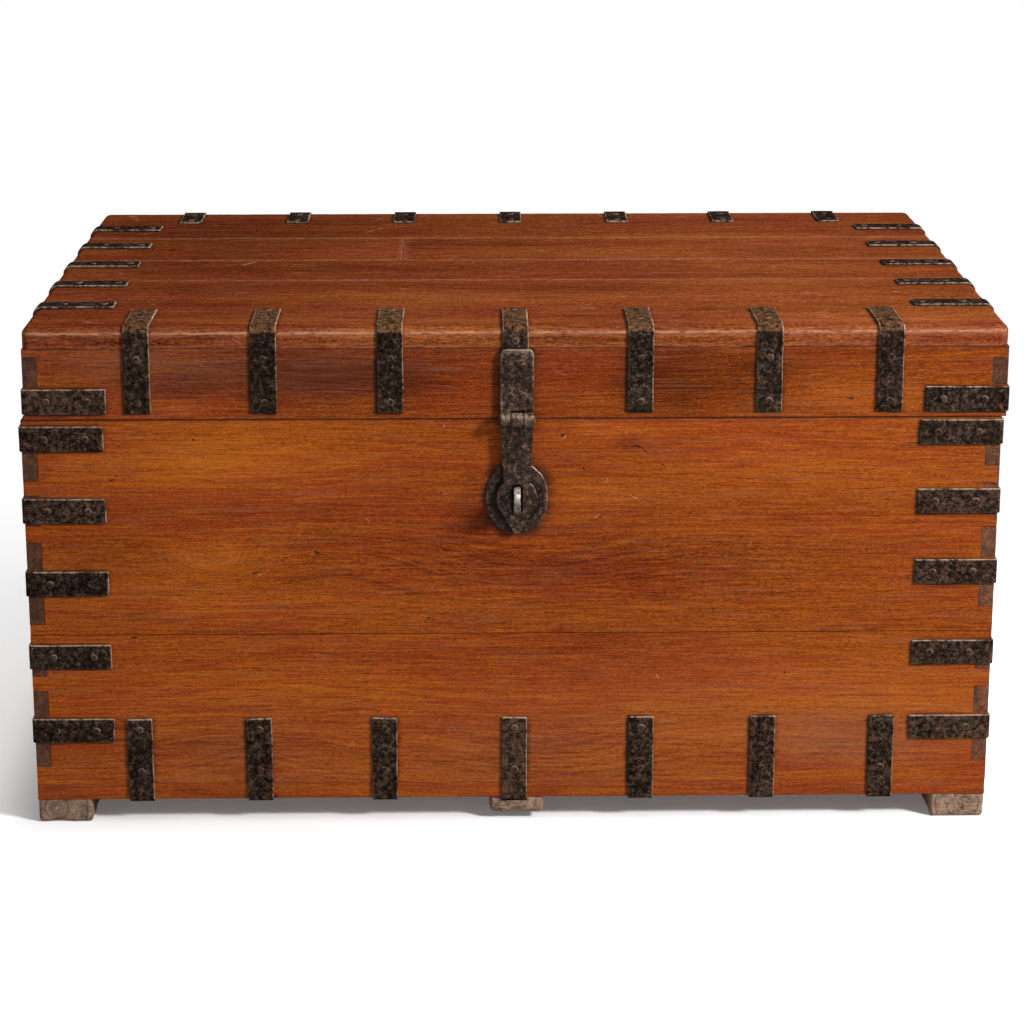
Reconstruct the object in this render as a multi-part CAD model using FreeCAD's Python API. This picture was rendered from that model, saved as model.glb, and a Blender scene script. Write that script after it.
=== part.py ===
"""Iron-bound plank chest: a dovetailed case on bearers, a hinged lid, a hasp and two drop handles.

Millimetres. +Z is up, the front faces -Y, and the origin is the centre of the base of the bounding box.
"""
import FreeCAD
import Part
import math
import os

Vector = FreeCAD.Vector

# Case and lid
case_width = 1220.0
case_depth = 780.0
board_thickness = 19.0
bearer_height = 31.0
bottom_thickness = 21.0
lower_board_height = 202.0
upper_board_height = 282.0
lid_rail_height = 90.0
lid_top_thickness = 26.0
lid_edge_radius = 9.0
lid_corner_radius = 12.0
lid_sideways_shift = 5.0
lid_rest_gap = 0.3
seam_gap = 0.3
joint_clearance = 0.1
cut_overrun = 1.0

# Dovetails: each row is the centre and the height of a tail, as shares of the height of its board
upper_left_tail_shares = ((0.12, 0.14), (0.364, 0.14), (0.581, 0.14), (0.79, 0.14))
upper_right_tail_shares = ((0.185, 0.14), (0.419, 0.14), (0.622, 0.14), (0.842, 0.14))
lower_left_tail_shares = ((0.21, 0.18), (0.538, 0.18), (0.819, 0.18))
lower_right_tail_shares = ((0.226, 0.18), (0.542, 0.18), (0.836, 0.18))
lid_left_tail_shares = ((0.20, 0.26), (0.675, 0.42))
lid_right_tail_shares = ((0.20, 0.26), (0.645, 0.37))
tail_taper_share = 0.14

# Boards of the lid's top and of the bottom, as shares of the depth, and the butt joint as a share of the width
lid_seam_shares = (0.366, 0.538, 0.743)
lid_butt_share = -0.124
bottom_seam_shares = (0.34, 0.67)

# Bearers under the case
bearer_width = 70.0
middle_bearer_height = 22.0
middle_bearer_shift = 5.0
bearer_edge_radius = 5.0

# Iron straps
strap_width = 32.0
strap_thickness = 2.7
strap_bend_slack = 0.5
lid_strap_top_leg = 100.0
lid_back_strap_top_leg = 85.0
lid_strap_end_gap = 7.5
lid_end_strap_leg = 100.0
corner_strap_leg = 102.0
bottom_strap_upright_leg = 110.0
bottom_strap_under_leg = 98.0
lid_corner_strap_height = 23.0
lid_front_strap_shares = (-0.384, -0.256, -0.128, -0.001, 0.126, 0.257, 0.380)
lid_back_strap_shares = (-0.387, -0.257, -0.127, 0.003, 0.133, 0.262, 0.391)
bottom_strap_shares = (-0.390, -0.265, -0.134, 0.002, 0.135, 0.263, 0.388)
side_strap_shares = (0.165, 0.332, 0.497, 0.667, 0.833)
left_corner_strap_shares = (0.188, 0.385, 0.578, 0.767, 0.952)
right_corner_strap_shares = (0.186, 0.387, 0.600, 0.784, 0.962)

# Nails
nail_shank = 4.0
nail_length = 14.0
nail_head_radius = 4.8
nail_head_crown_share = 0.55
nail_head_height = 1.8
nail_sides = 8
nail_clearance = 0.05
long_nail_hold = 16.0
bearer_nail_recess = 4.0
strap_nail_shares = (0.36, 0.87)
corner_nail_shares = (0.28, 0.78)
hasp_strap_nail_shares = (0.155,)
bearer_nail_shares = (0.22, 0.41, 0.59, 0.78)
wall_nail_shares = (-0.33, -0.2, -0.067, 0.067, 0.2, 0.33)
end_wall_nail_shares = (0.25, 0.42, 0.58, 0.75)

# Dowels between the lid's rails and its top
dowel_radius = 4.0
dowel_length = 30.0
dowel_end_gap = 0.3
end_dowel_shares = (0.25, 0.42, 0.64, 0.88)

# Hasp and its staple, with distances out measured from the front face
lock_shift = 5.5
lock_drop = 102.0
hasp_leaf_width = 42.0
hasp_leaf_rise = 88.0
hasp_leaf_thickness = 3.5
hasp_leaf_chamfer = 4.0
hasp_barrel_radius = 9.0
hasp_pin_radius = 3.5
hasp_pin_head_radius = 5.5
hasp_pin_head_length = 2.0
hasp_pin_rise = 1.0
hasp_knuckle_share = 0.37
hasp_arm_top_width = 41.0
hasp_arm_neck_width = 30.0
hasp_arm_thickness = 5.0
hasp_disc_radius = 25.8
hasp_tip_reach = 45.0
hasp_tip_width = 16.0
hasp_tip_end_width = 7.0
hasp_slot_width = 14.0
hasp_slot_height = 38.0
hasp_swing_gap = 0.6
hasp_nail_spacing = 16.0
hasp_nail_rise_shares = (0.33, 0.75)
staple_plate_width = 78.0
staple_plate_height = 92.0
staple_plate_thickness = 3.0
staple_plate_corner = 24.0
plate_ring_outer_radius = 34.0
plate_ring_inner_radius = 29.0
plate_ring_height = 1.2
staple_thickness = 9.0
staple_nose_radius = 15.5
staple_eye_radius = 6.5
staple_eye_gap = 1.5
staple_tail_height = 18.0
tail_peen_margin = 3.0
tail_peen_thickness = 3.0

# Hinges at the back
hinge_place_share = 0.322
hinge_width = 60.0
hinge_leaf_thickness = 3.0
hinge_barrel_radius = 7.0
hinge_pin_radius = 2.5
hinge_pin_head_radius = 4.5
hinge_pin_head_length = 2.0
hinge_wall_clearance = 0.3
hinge_knuckle_share = 0.4
hinge_side_gap = 0.4
hinge_lid_leaf_rise = 84.0
hinge_case_leaf_drop = 150.0
hinge_nail_spacing = 34.0
hinge_lid_nail_shares = (0.35, 0.8)
hinge_case_nail_shares = (0.3, 0.6, 0.9)
hinge_heel_reach = 12.0
hinge_heel_thickness = 3.5
lid_open_degrees = 105.0
running_clearance = 0.05
turning_gap = 0.5

# Drop handles on the ends
handle_height = 370.0
handle_eye_spacing = 130.0
handle_eye_width = 12.0
handle_eye_radius = 9.0
handle_eye_out = 16.0
handle_flange_radius = 17.0
handle_flange_thickness = 3.0
handle_shank = 8.0
bail_radius = 5.0
bail_drop = 62.0
bail_bend_radius = 12.0
bail_head_radius = 7.0
bail_head_length = 3.0

# Levels and faces worked out from the sizes above
level_bottom = bearer_height
level_wall = level_bottom + bottom_thickness
level_split = level_wall + lower_board_height
level_seam = level_split + upper_board_height
level_lid = level_seam + lid_rest_gap
level_rail_top = level_lid + lid_rail_height
level_top = level_rail_top + lid_top_thickness
half_width = case_width / 2
hasp_arm_back = staple_plate_thickness + plate_ring_height + hasp_swing_gap
hasp_arm_front = hasp_arm_back + hasp_arm_thickness
hasp_pin_out = strap_thickness + hasp_barrel_radius
staple_eye_out = hasp_arm_front + staple_eye_gap + staple_eye_radius
hinge_axis_out = hinge_barrel_radius + hinge_wall_clearance
open_angle = math.radians(lid_open_degrees)
hinge_heel_stand = hinge_axis_out - hinge_leaf_thickness - hinge_wall_clearance
front_reach = staple_eye_out + staple_nose_radius
back_reach = hinge_axis_out + hinge_heel_reach * math.sin(open_angle) - hinge_heel_stand * math.cos(open_angle)
front_face = (front_reach - back_reach - case_depth) / 2
back_face = front_face + case_depth
lock_level = level_seam - lock_drop
hasp_pin_level = level_seam + hasp_pin_rise
lid_left = lid_sideways_shift - half_width
lid_right = lid_sideways_shift + half_width

RIGHT = Vector(1, 0, 0)
LEFT = Vector(-1, 0, 0)
BACK = Vector(0, 1, 0)
FRONT = Vector(0, -1, 0)
UP = Vector(0, 0, 1)
DOWN = Vector(0, 0, -1)

pieces = {}
hole_cutters = []


def box(x_low, x_high, y_low, y_high, z_low, z_high):
    """Box between two corners."""
    return Part.makeBox(x_high - x_low, y_high - y_low, z_high - z_low, Vector(x_low, y_low, z_low))


def prism(points, direction):
    """Prism of a closed outline along a vector."""
    outline = Part.makePolygon(list(points) + [points[0]])
    return Part.Face(outline).extrude(direction)


def place(shape, origin, out, side):
    """Copy of a shape drawn with x pointing out, y to the side and z along out x side."""
    third = out.cross(side)
    matrix = FreeCAD.Matrix(
        out.x, side.x, third.x, origin.x,
        out.y, side.y, third.y, origin.y,
        out.z, side.z, third.z, origin.z,
        0, 0, 0, 1)
    copy = shape.copy()
    copy.Placement = FreeCAD.Placement(matrix).multiply(shape.Placement)
    return copy


def add(node, *solids):
    """Put solids into a named node."""
    pieces.setdefault(node, []).extend(solids)


def touches(first, second):
    """Whether two bounding boxes meet."""
    return first.BoundBox.intersect(second.BoundBox)


def drilled(solid):
    """Solid with every nail and dowel hole that reaches it."""
    cutters = [cutter for cutter in hole_cutters if touches(solid, cutter)]
    if not cutters:
        return solid
    return solid.cut(Part.makeCompound(cutters)).Solids[0]


def regular_wire(radius, x):
    """Octagon across the x axis."""
    turn = 2 * math.pi / nail_sides
    corners = [
        Vector(x, radius * math.cos((step + 0.5) * turn), radius * math.sin((step + 0.5) * turn))
        for step in range(nail_sides)]
    return Part.makePolygon(corners + [corners[0]])


def make_nail(length):
    """Nail with its head outside x = 0 and its square shank behind."""
    base = regular_wire(nail_head_radius, 0)
    crown = regular_wire(nail_head_radius * nail_head_crown_share, nail_head_height)
    head = Part.makeLoft([base, crown], True, True)
    half = nail_shank / 2
    shank = box(-length, 0, -half, half, -half, half)
    return head.fuse(shank).removeSplitter()


def make_nail_hole(length):
    """Square hole for a nail, open past the surface."""
    half = nail_shank / 2 + nail_clearance
    return box(-length - nail_clearance, cut_overrun, -half, half, -half, half)


short_nail = make_nail(nail_length)
short_nail_hole = make_nail_hole(nail_length)


def drive_nail(node, origin, out, side):
    """Short nail in a strap or leaf, with its hole."""
    add(node, place(short_nail, origin, out, side))
    hole_cutters.append(place(short_nail_hole, origin, out, side))


def strap_outline(under_leg, upright_leg, bend):
    """Outline of an L strap: wood fills x > 0, y > 0, one leg lies below y = 0 and one left of x = 0."""
    outer = bend + strap_thickness
    diagonal = math.sqrt(0.5)
    parts = [Part.makeLine(Vector(under_leg, 0, 0), Vector(bend, 0, 0))]
    if bend:
        middle = Vector(bend - bend * diagonal, bend - bend * diagonal, 0)
        parts.append(Part.Arc(Vector(bend, 0, 0), middle, Vector(0, bend, 0)).toShape())
    parts.append(Part.makeLine(Vector(0, bend, 0), Vector(0, upright_leg, 0)))
    parts.append(Part.makeLine(Vector(0, upright_leg, 0), Vector(-strap_thickness, upright_leg, 0)))
    parts.append(Part.makeLine(Vector(-strap_thickness, upright_leg, 0), Vector(-strap_thickness, bend, 0)))
    middle = Vector(bend - outer * diagonal, bend - outer * diagonal, 0)
    corner = Part.Arc(Vector(-strap_thickness, bend, 0), middle, Vector(bend, -strap_thickness, 0))
    parts.append(corner.toShape())
    parts.append(Part.makeLine(Vector(bend, -strap_thickness, 0), Vector(under_leg, -strap_thickness, 0)))
    parts.append(Part.makeLine(Vector(under_leg, -strap_thickness, 0), Vector(under_leg, 0, 0)))
    return Part.Wire(parts)


def make_strap(leg_one, leg_two, bend):
    """L strap centred on its width."""
    outline = strap_outline(leg_one, leg_two, bend)
    strap = Part.Face(outline).extrude(Vector(0, 0, strap_width))
    strap.translate(Vector(0, 0, -strap_width / 2))
    return strap


def fix_strap(node, nail_node, strap, corner, one, two, one_nails, two_nails):
    """Strap round a corner, leg one running along `one` and leg two along `two`, nailed through both."""
    add(node, place(strap, corner, one, two))
    for distance in one_nails:
        surface = corner + one * distance - two * strap_thickness
        drive_nail(nail_node, surface, two * -1, one)
    for distance in two_nails:
        surface = corner + two * distance - one * strap_thickness
        drive_nail(nail_node, surface, one * -1, two)


def tail_prism(x_low, x_high, y_tip, y_root, centre, height, slack):
    """Dovetail tail between its tip, at a face, and its narrower root."""
    tip_half = height / 2 + slack
    root_half = tip_half - height * tail_taper_share / 2
    outline = (
        Vector(x_low, y_tip, centre - tip_half),
        Vector(x_low, y_tip, centre + tip_half),
        Vector(x_low, y_root, centre + root_half),
        Vector(x_low, y_root, centre - root_half))
    return prism(outline, Vector(x_high - x_low, 0, 0))


def dovetailed_ring(low, high, middle, left_tails, right_tails):
    """Front, back, left and right boards of one course, joined by through dovetails."""
    left = middle - half_width
    right = middle + half_width
    height = high - low
    front = box(left, right, front_face, front_face + board_thickness, low, high)
    back = box(left, right, back_face - board_thickness, back_face, low, high)
    inner_front = front_face + board_thickness + joint_clearance
    inner_back = back_face - board_thickness - joint_clearance
    ends = []
    for outer, inner, tails in (
            (left, left + board_thickness, left_tails),
            (right - board_thickness, right, right_tails)):
        end = box(outer, inner, inner_front, inner_back, low, high)
        for centre_share, height_share in tails:
            centre = low + height * centre_share
            tail_height = height * height_share
            end = end.fuse(tail_prism(outer, inner, front_face, inner_front, centre, tail_height, 0))
            end = end.fuse(tail_prism(outer, inner, back_face, inner_back, centre, tail_height, 0))
            cut_low = outer - joint_clearance
            cut_high = inner + joint_clearance
            slack = joint_clearance
            front = front.cut(tail_prism(cut_low, cut_high, front_face, inner_front, centre, tail_height, slack))
            back = back.cut(tail_prism(cut_low, cut_high, back_face, inner_back, centre, tail_height, slack))
        ends.append(end.removeSplitter())
    return front, back, ends[0], ends[1]


def build_case_wood():
    """Two courses of wall boards, three bottom boards and three bearers."""
    courses = (
        ("lower", level_wall, level_split, lower_left_tail_shares, lower_right_tail_shares),
        ("upper", level_split + seam_gap, level_seam, upper_left_tail_shares, upper_right_tail_shares))
    for course, low, high, left_tails, right_tails in courses:
        front, back, left, right = dovetailed_ring(low, high, 0, left_tails, right_tails)
        add("front_board_" + course, front)
        add("back_board_" + course, back)
        add("left_side_board_" + course, left)
        add("right_side_board_" + course, right)
    edges = (0,) + bottom_seam_shares + (1,)
    for index, name in enumerate(("front", "middle", "rear")):
        y_low = front_face + case_depth * edges[index] + (seam_gap if index else 0)
        y_high = front_face + case_depth * edges[index + 1]
        add("bottom_board_" + name, box(-half_width, half_width, y_low, y_high, level_bottom, level_wall))
    places = (
        ("left_bearer", -half_width, bearer_height),
        ("middle_bearer", middle_bearer_shift - bearer_width / 2, middle_bearer_height),
        ("right_bearer", half_width - bearer_width, bearer_height))
    for name, x_low, height in places:
        add(name, make_bearer(x_low, height))


def make_bearer(x_low, height):
    """Bearer under the bottom boards, worn round below, with housings over the strap legs it crosses."""
    x_high = x_low + bearer_width
    under = level_bottom - height
    bearer = box(x_low, x_high, front_face, back_face, under, level_bottom)
    worn = [
        edge for edge in bearer.Edges
        if edge.BoundBox.ZMax < under + cut_overrun]
    bearer = bearer.makeFillet(bearer_edge_radius, worn)
    for housing in strap_housings():
        if touches(bearer, housing):
            bearer = bearer.cut(housing)
    return bearer.Solids[0]


def strap_housings():
    """Spaces for the strap legs under the bottom boards and the heads of their nails."""
    low = level_bottom - strap_thickness - nail_head_height - lid_rest_gap
    half = strap_width / 2 + joint_clearance
    reach = bottom_strap_under_leg + joint_clearance
    housings = []
    for share in bottom_strap_shares:
        x = case_width * share
        for y_low, y_high in (
                (front_face - cut_overrun, front_face + reach),
                (back_face - reach, back_face + cut_overrun)):
            housings.append(box(x - half, x + half, y_low, y_high, low, level_bottom))
    for share in side_strap_shares:
        y = front_face + case_depth * share
        for x_low, x_high in (
                (-half_width - cut_overrun, reach - half_width),
                (half_width - reach, half_width + cut_overrun)):
            housings.append(box(x_low, x_high, y - half, y + half, low, level_bottom))
    return housings


def build_lid_wood():
    """Dovetailed rails under a top of edge-jointed boards with rounded edges."""
    rails = dovetailed_ring(
        level_lid, level_rail_top, lid_sideways_shift, lid_left_tail_shares, lid_right_tail_shares)
    for name, rail in zip(("front", "back", "left", "right"), rails):
        add("lid_" + name + "_rail", rail)
    slab = box(lid_left, lid_right, front_face, back_face, level_rail_top, level_top)
    uprights = [edge for edge in slab.Edges if edge.BoundBox.ZLength > lid_top_thickness / 2]
    slab = slab.makeFillet(lid_corner_radius, uprights)
    rims = [edge for edge in slab.Edges if edge.BoundBox.ZMin > level_top - cut_overrun]
    slab = slab.makeFillet(lid_edge_radius, rims)
    seams = [front_face + case_depth * share for share in lid_seam_shares]
    butt = lid_sideways_shift + case_width * lid_butt_share
    left = lid_left - cut_overrun
    right = lid_right + cut_overrun
    boards = (
        ("front", left, right, front_face - cut_overrun, seams[0]),
        ("front_middle", left, right, seams[0] + seam_gap, seams[1]),
        ("rear_middle_left", left, butt, seams[1] + seam_gap, seams[2]),
        ("rear_middle_right", butt + seam_gap, right, seams[1] + seam_gap, seams[2]),
        ("rear", left, right, seams[2] + seam_gap, back_face + cut_overrun))
    for name, x_low, x_high, y_low, y_high in boards:
        space = box(x_low, x_high, y_low, y_high, level_rail_top - cut_overrun, level_top + cut_overrun)
        add("lid_top_board_" + name, slab.common(space).Solids[0])


def build_dowels():
    """Dowels that hold the lid's top to its rails."""
    half_length = dowel_length / 2
    spots = []
    for share in wall_nail_shares:
        x = lid_sideways_shift + case_width * share
        spots.append((x, front_face + board_thickness / 2))
        spots.append((x, back_face - board_thickness / 2))
    for share in end_dowel_shares:
        y = front_face + case_depth * share
        spots.append((lid_left + board_thickness / 2, y))
        spots.append((lid_right - board_thickness / 2, y))
    for x, y in spots:
        start = Vector(x, y, level_rail_top - half_length)
        add("lid_dowels", Part.makeCylinder(dowel_radius, dowel_length, start, UP))
        hole_start = start - UP * dowel_end_gap
        hole_length = dowel_length + 2 * dowel_end_gap
        hole_cutters.append(
            Part.makeCylinder(dowel_radius + joint_clearance, hole_length, hole_start, UP))


def build_lid_straps():
    """Straps over the lid's edges and round its corners."""
    bend = lid_edge_radius - strap_bend_slack
    lid_height = level_top - level_lid
    front_leg = lid_height - lid_strap_end_gap
    nail_node = "lid_strap_nails"
    front_strap = make_strap(lid_strap_top_leg, front_leg, bend)
    back_strap = make_strap(lid_back_strap_top_leg, front_leg, bend)
    end_strap = make_strap(lid_end_strap_leg, lid_end_strap_leg, bend)
    top_nails = [lid_strap_top_leg * share for share in strap_nail_shares]
    back_nails = [lid_back_strap_top_leg * share for share in strap_nail_shares]
    leg_nails = [front_leg * share for share in strap_nail_shares]
    hasp_nails = [front_leg * share for share in hasp_strap_nail_shares]
    end_nails = [lid_end_strap_leg * share for share in strap_nail_shares]
    hasp_reach = (hasp_leaf_width + strap_width) / 2
    for share in lid_front_strap_shares:
        x = lid_sideways_shift + case_width * share
        front_nails = hasp_nails if abs(x - lock_shift) < hasp_reach else leg_nails
        corner = Vector(x, front_face, level_top)
        fix_strap("lid_front_straps", nail_node, front_strap, corner, BACK, DOWN, top_nails, front_nails)
    for share in lid_back_strap_shares:
        corner = Vector(lid_sideways_shift + case_width * share, back_face, level_top)
        fix_strap("lid_back_straps", nail_node, back_strap, corner, FRONT, DOWN, back_nails, leg_nails)
    for share in side_strap_shares:
        y = front_face + case_depth * share
        for node, x, inward in (("lid_left_straps", lid_left, RIGHT), ("lid_right_straps", lid_right, LEFT)):
            fix_strap(node, nail_node, end_strap, Vector(x, y, level_top), inward, DOWN, end_nails, end_nails)
    level = level_lid + lid_corner_strap_height
    for x, inward in ((lid_left, RIGHT), (lid_right, LEFT)):
        for y, along in ((front_face, BACK), (back_face, FRONT)):
            fix_corner_strap("lid_corner_straps", nail_node, Vector(x, y, level), inward, along)


corner_strap = make_strap(corner_strap_leg, corner_strap_leg, 0)


def fix_corner_strap(node, nail_node, corner, inward, along):
    """Strap round an upright corner."""
    nails = [corner_strap_leg * share for share in corner_nail_shares]
    fix_strap(node, nail_node, corner_strap, corner, inward, along, nails, nails)


def build_case_straps():
    """Straps round the case's corners and under its bottom edges."""
    case_height = level_seam - level_bottom
    sides = (
        ("left", -half_width, RIGHT, left_corner_strap_shares),
        ("right", half_width, LEFT, right_corner_strap_shares))
    for side, x, inward, shares in sides:
        for end, y, along in (("front", front_face, BACK), ("back", back_face, FRONT)):
            node = "case_" + end + "_" + side + "_corner_straps"
            for share in shares:
                corner = Vector(x, y, level_bottom + case_height * share)
                fix_corner_strap(node, "case_corner_strap_nails", corner, inward, along)
    bottom_strap = make_strap(bottom_strap_under_leg, bottom_strap_upright_leg, 0)
    under_nails = [bottom_strap_under_leg * share for share in strap_nail_shares]
    upright_nails = [bottom_strap_upright_leg * share for share in strap_nail_shares]
    nail_node = "case_bottom_strap_nails"
    for share in bottom_strap_shares:
        for end, y, along in (("front", front_face, BACK), ("back", back_face, FRONT)):
            corner = Vector(case_width * share, y, level_bottom)
            fix_strap("case_bottom_" + end + "_straps", nail_node, bottom_strap, corner, along, UP,
                      under_nails, upright_nails)
    for share in side_strap_shares:
        y = front_face + case_depth * share
        for side, x, inward, shares in sides:
            fix_strap("case_bottom_" + side + "_straps", nail_node, bottom_strap, Vector(x, y, level_bottom),
                      inward, UP, under_nails, upright_nails)


def drive_long_nail(node, head, length):
    """Long nail driven upward, with its head in a recess that opens below."""
    add(node, place(make_nail(length), head, DOWN, RIGHT))
    hole_cutters.append(place(make_nail_hole(length), head, DOWN, RIGHT))


def cut_recess(x, y, surface, depth):
    """Recess under a long nail's head."""
    half = nail_head_radius + joint_clearance
    hole_cutters.append(box(x - half, x + half, y - half, y + half, surface - cut_overrun, surface + depth))


def build_long_nails():
    """Nails up through the bearers into the bottom, and up through the bottom into the walls."""
    bearers = (
        (bearer_width / 2 - half_width, bearer_height),
        (middle_bearer_shift, middle_bearer_height),
        (half_width - bearer_width / 2, bearer_height))
    for x, height in bearers:
        surface = level_bottom - height
        for share in bearer_nail_shares:
            y = front_face + case_depth * share
            head = Vector(x, y, surface + bearer_nail_recess)
            drive_long_nail("bearer_nails", head, height - bearer_nail_recess + long_nail_hold)
            cut_recess(x, y, surface, bearer_nail_recess)
    spots = []
    for share in wall_nail_shares:
        spots.append((case_width * share, front_face + board_thickness / 2))
        spots.append((case_width * share, back_face - board_thickness / 2))
    for share in end_wall_nail_shares:
        spots.append((board_thickness / 2 - half_width, front_face + case_depth * share))
        spots.append((half_width - board_thickness / 2, front_face + case_depth * share))
    recess = nail_head_height + joint_clearance
    for x, y in spots:
        head = Vector(x, y, level_bottom + recess)
        drive_long_nail("bottom_board_nails", head, bottom_thickness - recess + long_nail_hold)
        half = nail_head_radius + joint_clearance
        pocket = box(x - half, x + half, y - half, y + half, level_bottom, level_bottom + recess)
        hole_cutters.append(pocket)


def ring(radius, bore, start, length):
    """Barrel with a bore along +Y of the local frame."""
    barrel = Part.makeCylinder(radius, length, start, BACK)
    return barrel.cut(Part.makeCylinder(bore, length, start, BACK))


def headed_pin(radius, head_radius, head_length, half_length, out, rise):
    """Pin along y with a head at each end."""
    body = Part.makeCylinder(radius, 2 * half_length, Vector(out, -half_length, rise), BACK)
    for start in (-half_length - head_length, half_length):
        body = body.fuse(Part.makeCylinder(head_radius, head_length, Vector(out, start, rise), BACK))
    return body.removeSplitter()


def build_hasp():
    """Leaf on the lid, pin, and the slotted arm that hangs from it."""
    origin = Vector(lock_shift, front_face, 0)
    half = hasp_leaf_width / 2
    knuckle = hasp_leaf_width * hasp_knuckle_share / 2
    back = strap_thickness
    top = hasp_pin_level + hasp_leaf_rise
    chamfer = hasp_leaf_chamfer
    outline = (
        Vector(back, -half, hasp_pin_level),
        Vector(back, half, hasp_pin_level),
        Vector(back, half, top - chamfer),
        Vector(back, half - chamfer, top),
        Vector(back, chamfer - half, top),
        Vector(back, -half, top - chamfer))
    leaf = prism(outline, Vector(hasp_leaf_thickness, 0, 0))
    bore = hasp_pin_radius + running_clearance
    leaf = leaf.fuse(ring(hasp_barrel_radius, bore, Vector(hasp_pin_out, -half, hasp_pin_level), hasp_leaf_width))
    gap = hasp_barrel_radius + turning_gap
    window = box(
        0, hasp_pin_out + gap, -knuckle - hinge_side_gap, knuckle + hinge_side_gap,
        hasp_pin_level - gap, hasp_pin_level + gap)
    leaf = leaf.cut(window).removeSplitter()
    for share in hasp_nail_rise_shares:
        for side in (-1, 1):
            spot = Vector(
                lock_shift + side * hasp_nail_spacing / 2,
                front_face - strap_thickness - hasp_leaf_thickness,
                hasp_pin_level + hasp_leaf_rise * share)
            drive_nail("hasp_leaf_nails", spot, FRONT, RIGHT)
    add("hasp_leaf", place(leaf, origin, FRONT, RIGHT))
    pin = headed_pin(
        hasp_pin_radius, hasp_pin_head_radius, hasp_pin_head_length, half, hasp_pin_out, hasp_pin_level)
    add("hasp_pin", place(pin, origin, FRONT, RIGHT))
    add("hasp_arm", place(make_hasp_arm(knuckle, bore), origin, FRONT, RIGHT))


def make_hasp_arm(knuckle, bore):
    """Arm with a barrel above, a slotted disc and a pointed tip below."""
    back = hasp_arm_back
    top_half = hasp_arm_top_width / 2
    neck_half = hasp_arm_neck_width / 2
    shoulder = hasp_pin_level - hasp_barrel_radius - turning_gap
    tip_half = hasp_tip_width / 2
    end_half = hasp_tip_end_width / 2
    tip_level = lock_level - hasp_tip_reach
    neck = prism((
        Vector(back, -top_half, shoulder),
        Vector(back, top_half, shoulder),
        Vector(back, neck_half, lock_level),
        Vector(back, -neck_half, lock_level)), Vector(hasp_arm_thickness, 0, 0))
    tip = prism((
        Vector(back, -tip_half, lock_level - hasp_disc_radius + hasp_arm_thickness),
        Vector(back, tip_half, lock_level - hasp_disc_radius + hasp_arm_thickness),
        Vector(back, end_half, tip_level),
        Vector(back, -end_half, tip_level)), Vector(hasp_arm_thickness, 0, 0))
    disc = Part.makeCylinder(hasp_disc_radius, hasp_arm_thickness, Vector(back, 0, lock_level), RIGHT)
    root = box(back, back + hasp_arm_thickness, -knuckle, knuckle, shoulder - cut_overrun, hasp_pin_level)
    barrel = Part.makeCylinder(
        hasp_barrel_radius, 2 * knuckle, Vector(hasp_pin_out, -knuckle, hasp_pin_level), BACK)
    arm = neck.fuse([tip, disc, root, barrel])
    half_slot = hasp_slot_width / 2
    end_centre = hasp_slot_height / 2 - half_slot
    far = back + hasp_arm_thickness + cut_overrun
    slot = box(back - cut_overrun, far, -half_slot, half_slot, lock_level - end_centre, lock_level + end_centre)
    for level in (lock_level - end_centre, lock_level + end_centre):
        depth = hasp_arm_thickness + 2 * cut_overrun
        slot = slot.fuse(Part.makeCylinder(half_slot, depth, Vector(back - cut_overrun, 0, level), RIGHT))
    arm = arm.cut(slot)
    arm = arm.cut(Part.makeCylinder(bore, 2 * knuckle, Vector(hasp_pin_out, -knuckle, hasp_pin_level), BACK))
    return arm.removeSplitter()


def peened_tail(width, height, start, wall):
    """Tail through a wall of wood and any plate, hammered over inside."""
    margin = tail_peen_margin
    shank = box(-wall, start, -width / 2, width / 2, -height / 2, height / 2)
    peen = box(
        -wall - tail_peen_thickness, -wall, -width / 2 - margin, width / 2 + margin,
        -height / 2 - margin, height / 2 + margin)
    return shank.fuse(peen)


def tail_hole(width, height, start, wall):
    """Hole for a peened tail."""
    slack = joint_clearance
    return box(-wall, start, -width / 2 - slack, width / 2 + slack, -height / 2 - slack, height / 2 + slack)


def build_staple():
    """Octagonal plate on the front and the staple with its padlock eye."""
    origin = Vector(lock_shift, front_face, lock_level)
    half_wide = staple_plate_width / 2
    half_high = staple_plate_height / 2
    corner = staple_plate_corner
    outline = [
        Vector(0, side * half_wide, rise * (half_high - corner)) for side, rise in ((-1, -1), (-1, 1))]
    outline += [Vector(0, corner - half_wide, half_high), Vector(0, half_wide - corner, half_high)]
    outline += [Vector(0, half_wide, rise * (half_high - corner)) for rise in (1, -1)]
    outline += [Vector(0, half_wide - corner, -half_high), Vector(0, corner - half_wide, -half_high)]
    plate = prism(outline, Vector(staple_plate_thickness, 0, 0))
    rim_start = Vector(staple_plate_thickness, 0, 0)
    rim = Part.makeCylinder(plate_ring_outer_radius, plate_ring_height, rim_start, RIGHT)
    rim = rim.cut(Part.makeCylinder(plate_ring_inner_radius, plate_ring_height, rim_start, RIGHT))
    hole = tail_hole(staple_thickness, staple_tail_height, staple_plate_thickness, board_thickness)
    add("staple_plate", place(plate.fuse(rim).cut(hole), origin, FRONT, RIGHT))
    half_thick = staple_thickness / 2
    nose = Part.makeCylinder(
        staple_nose_radius, staple_thickness, Vector(staple_eye_out, -half_thick, 0), BACK)
    body = box(
        staple_plate_thickness, staple_eye_out, -half_thick, half_thick, -staple_nose_radius, staple_nose_radius)
    tail = peened_tail(staple_thickness, staple_tail_height, staple_plate_thickness, board_thickness)
    staple = body.fuse([nose, tail])
    eye = Part.makeCylinder(
        staple_eye_radius, staple_thickness, Vector(staple_eye_out, -half_thick, 0), BACK)
    add("staple", place(staple.cut(eye).removeSplitter(), origin, FRONT, RIGHT))
    hole_cutters.append(place(hole, origin, FRONT, RIGHT))


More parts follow.
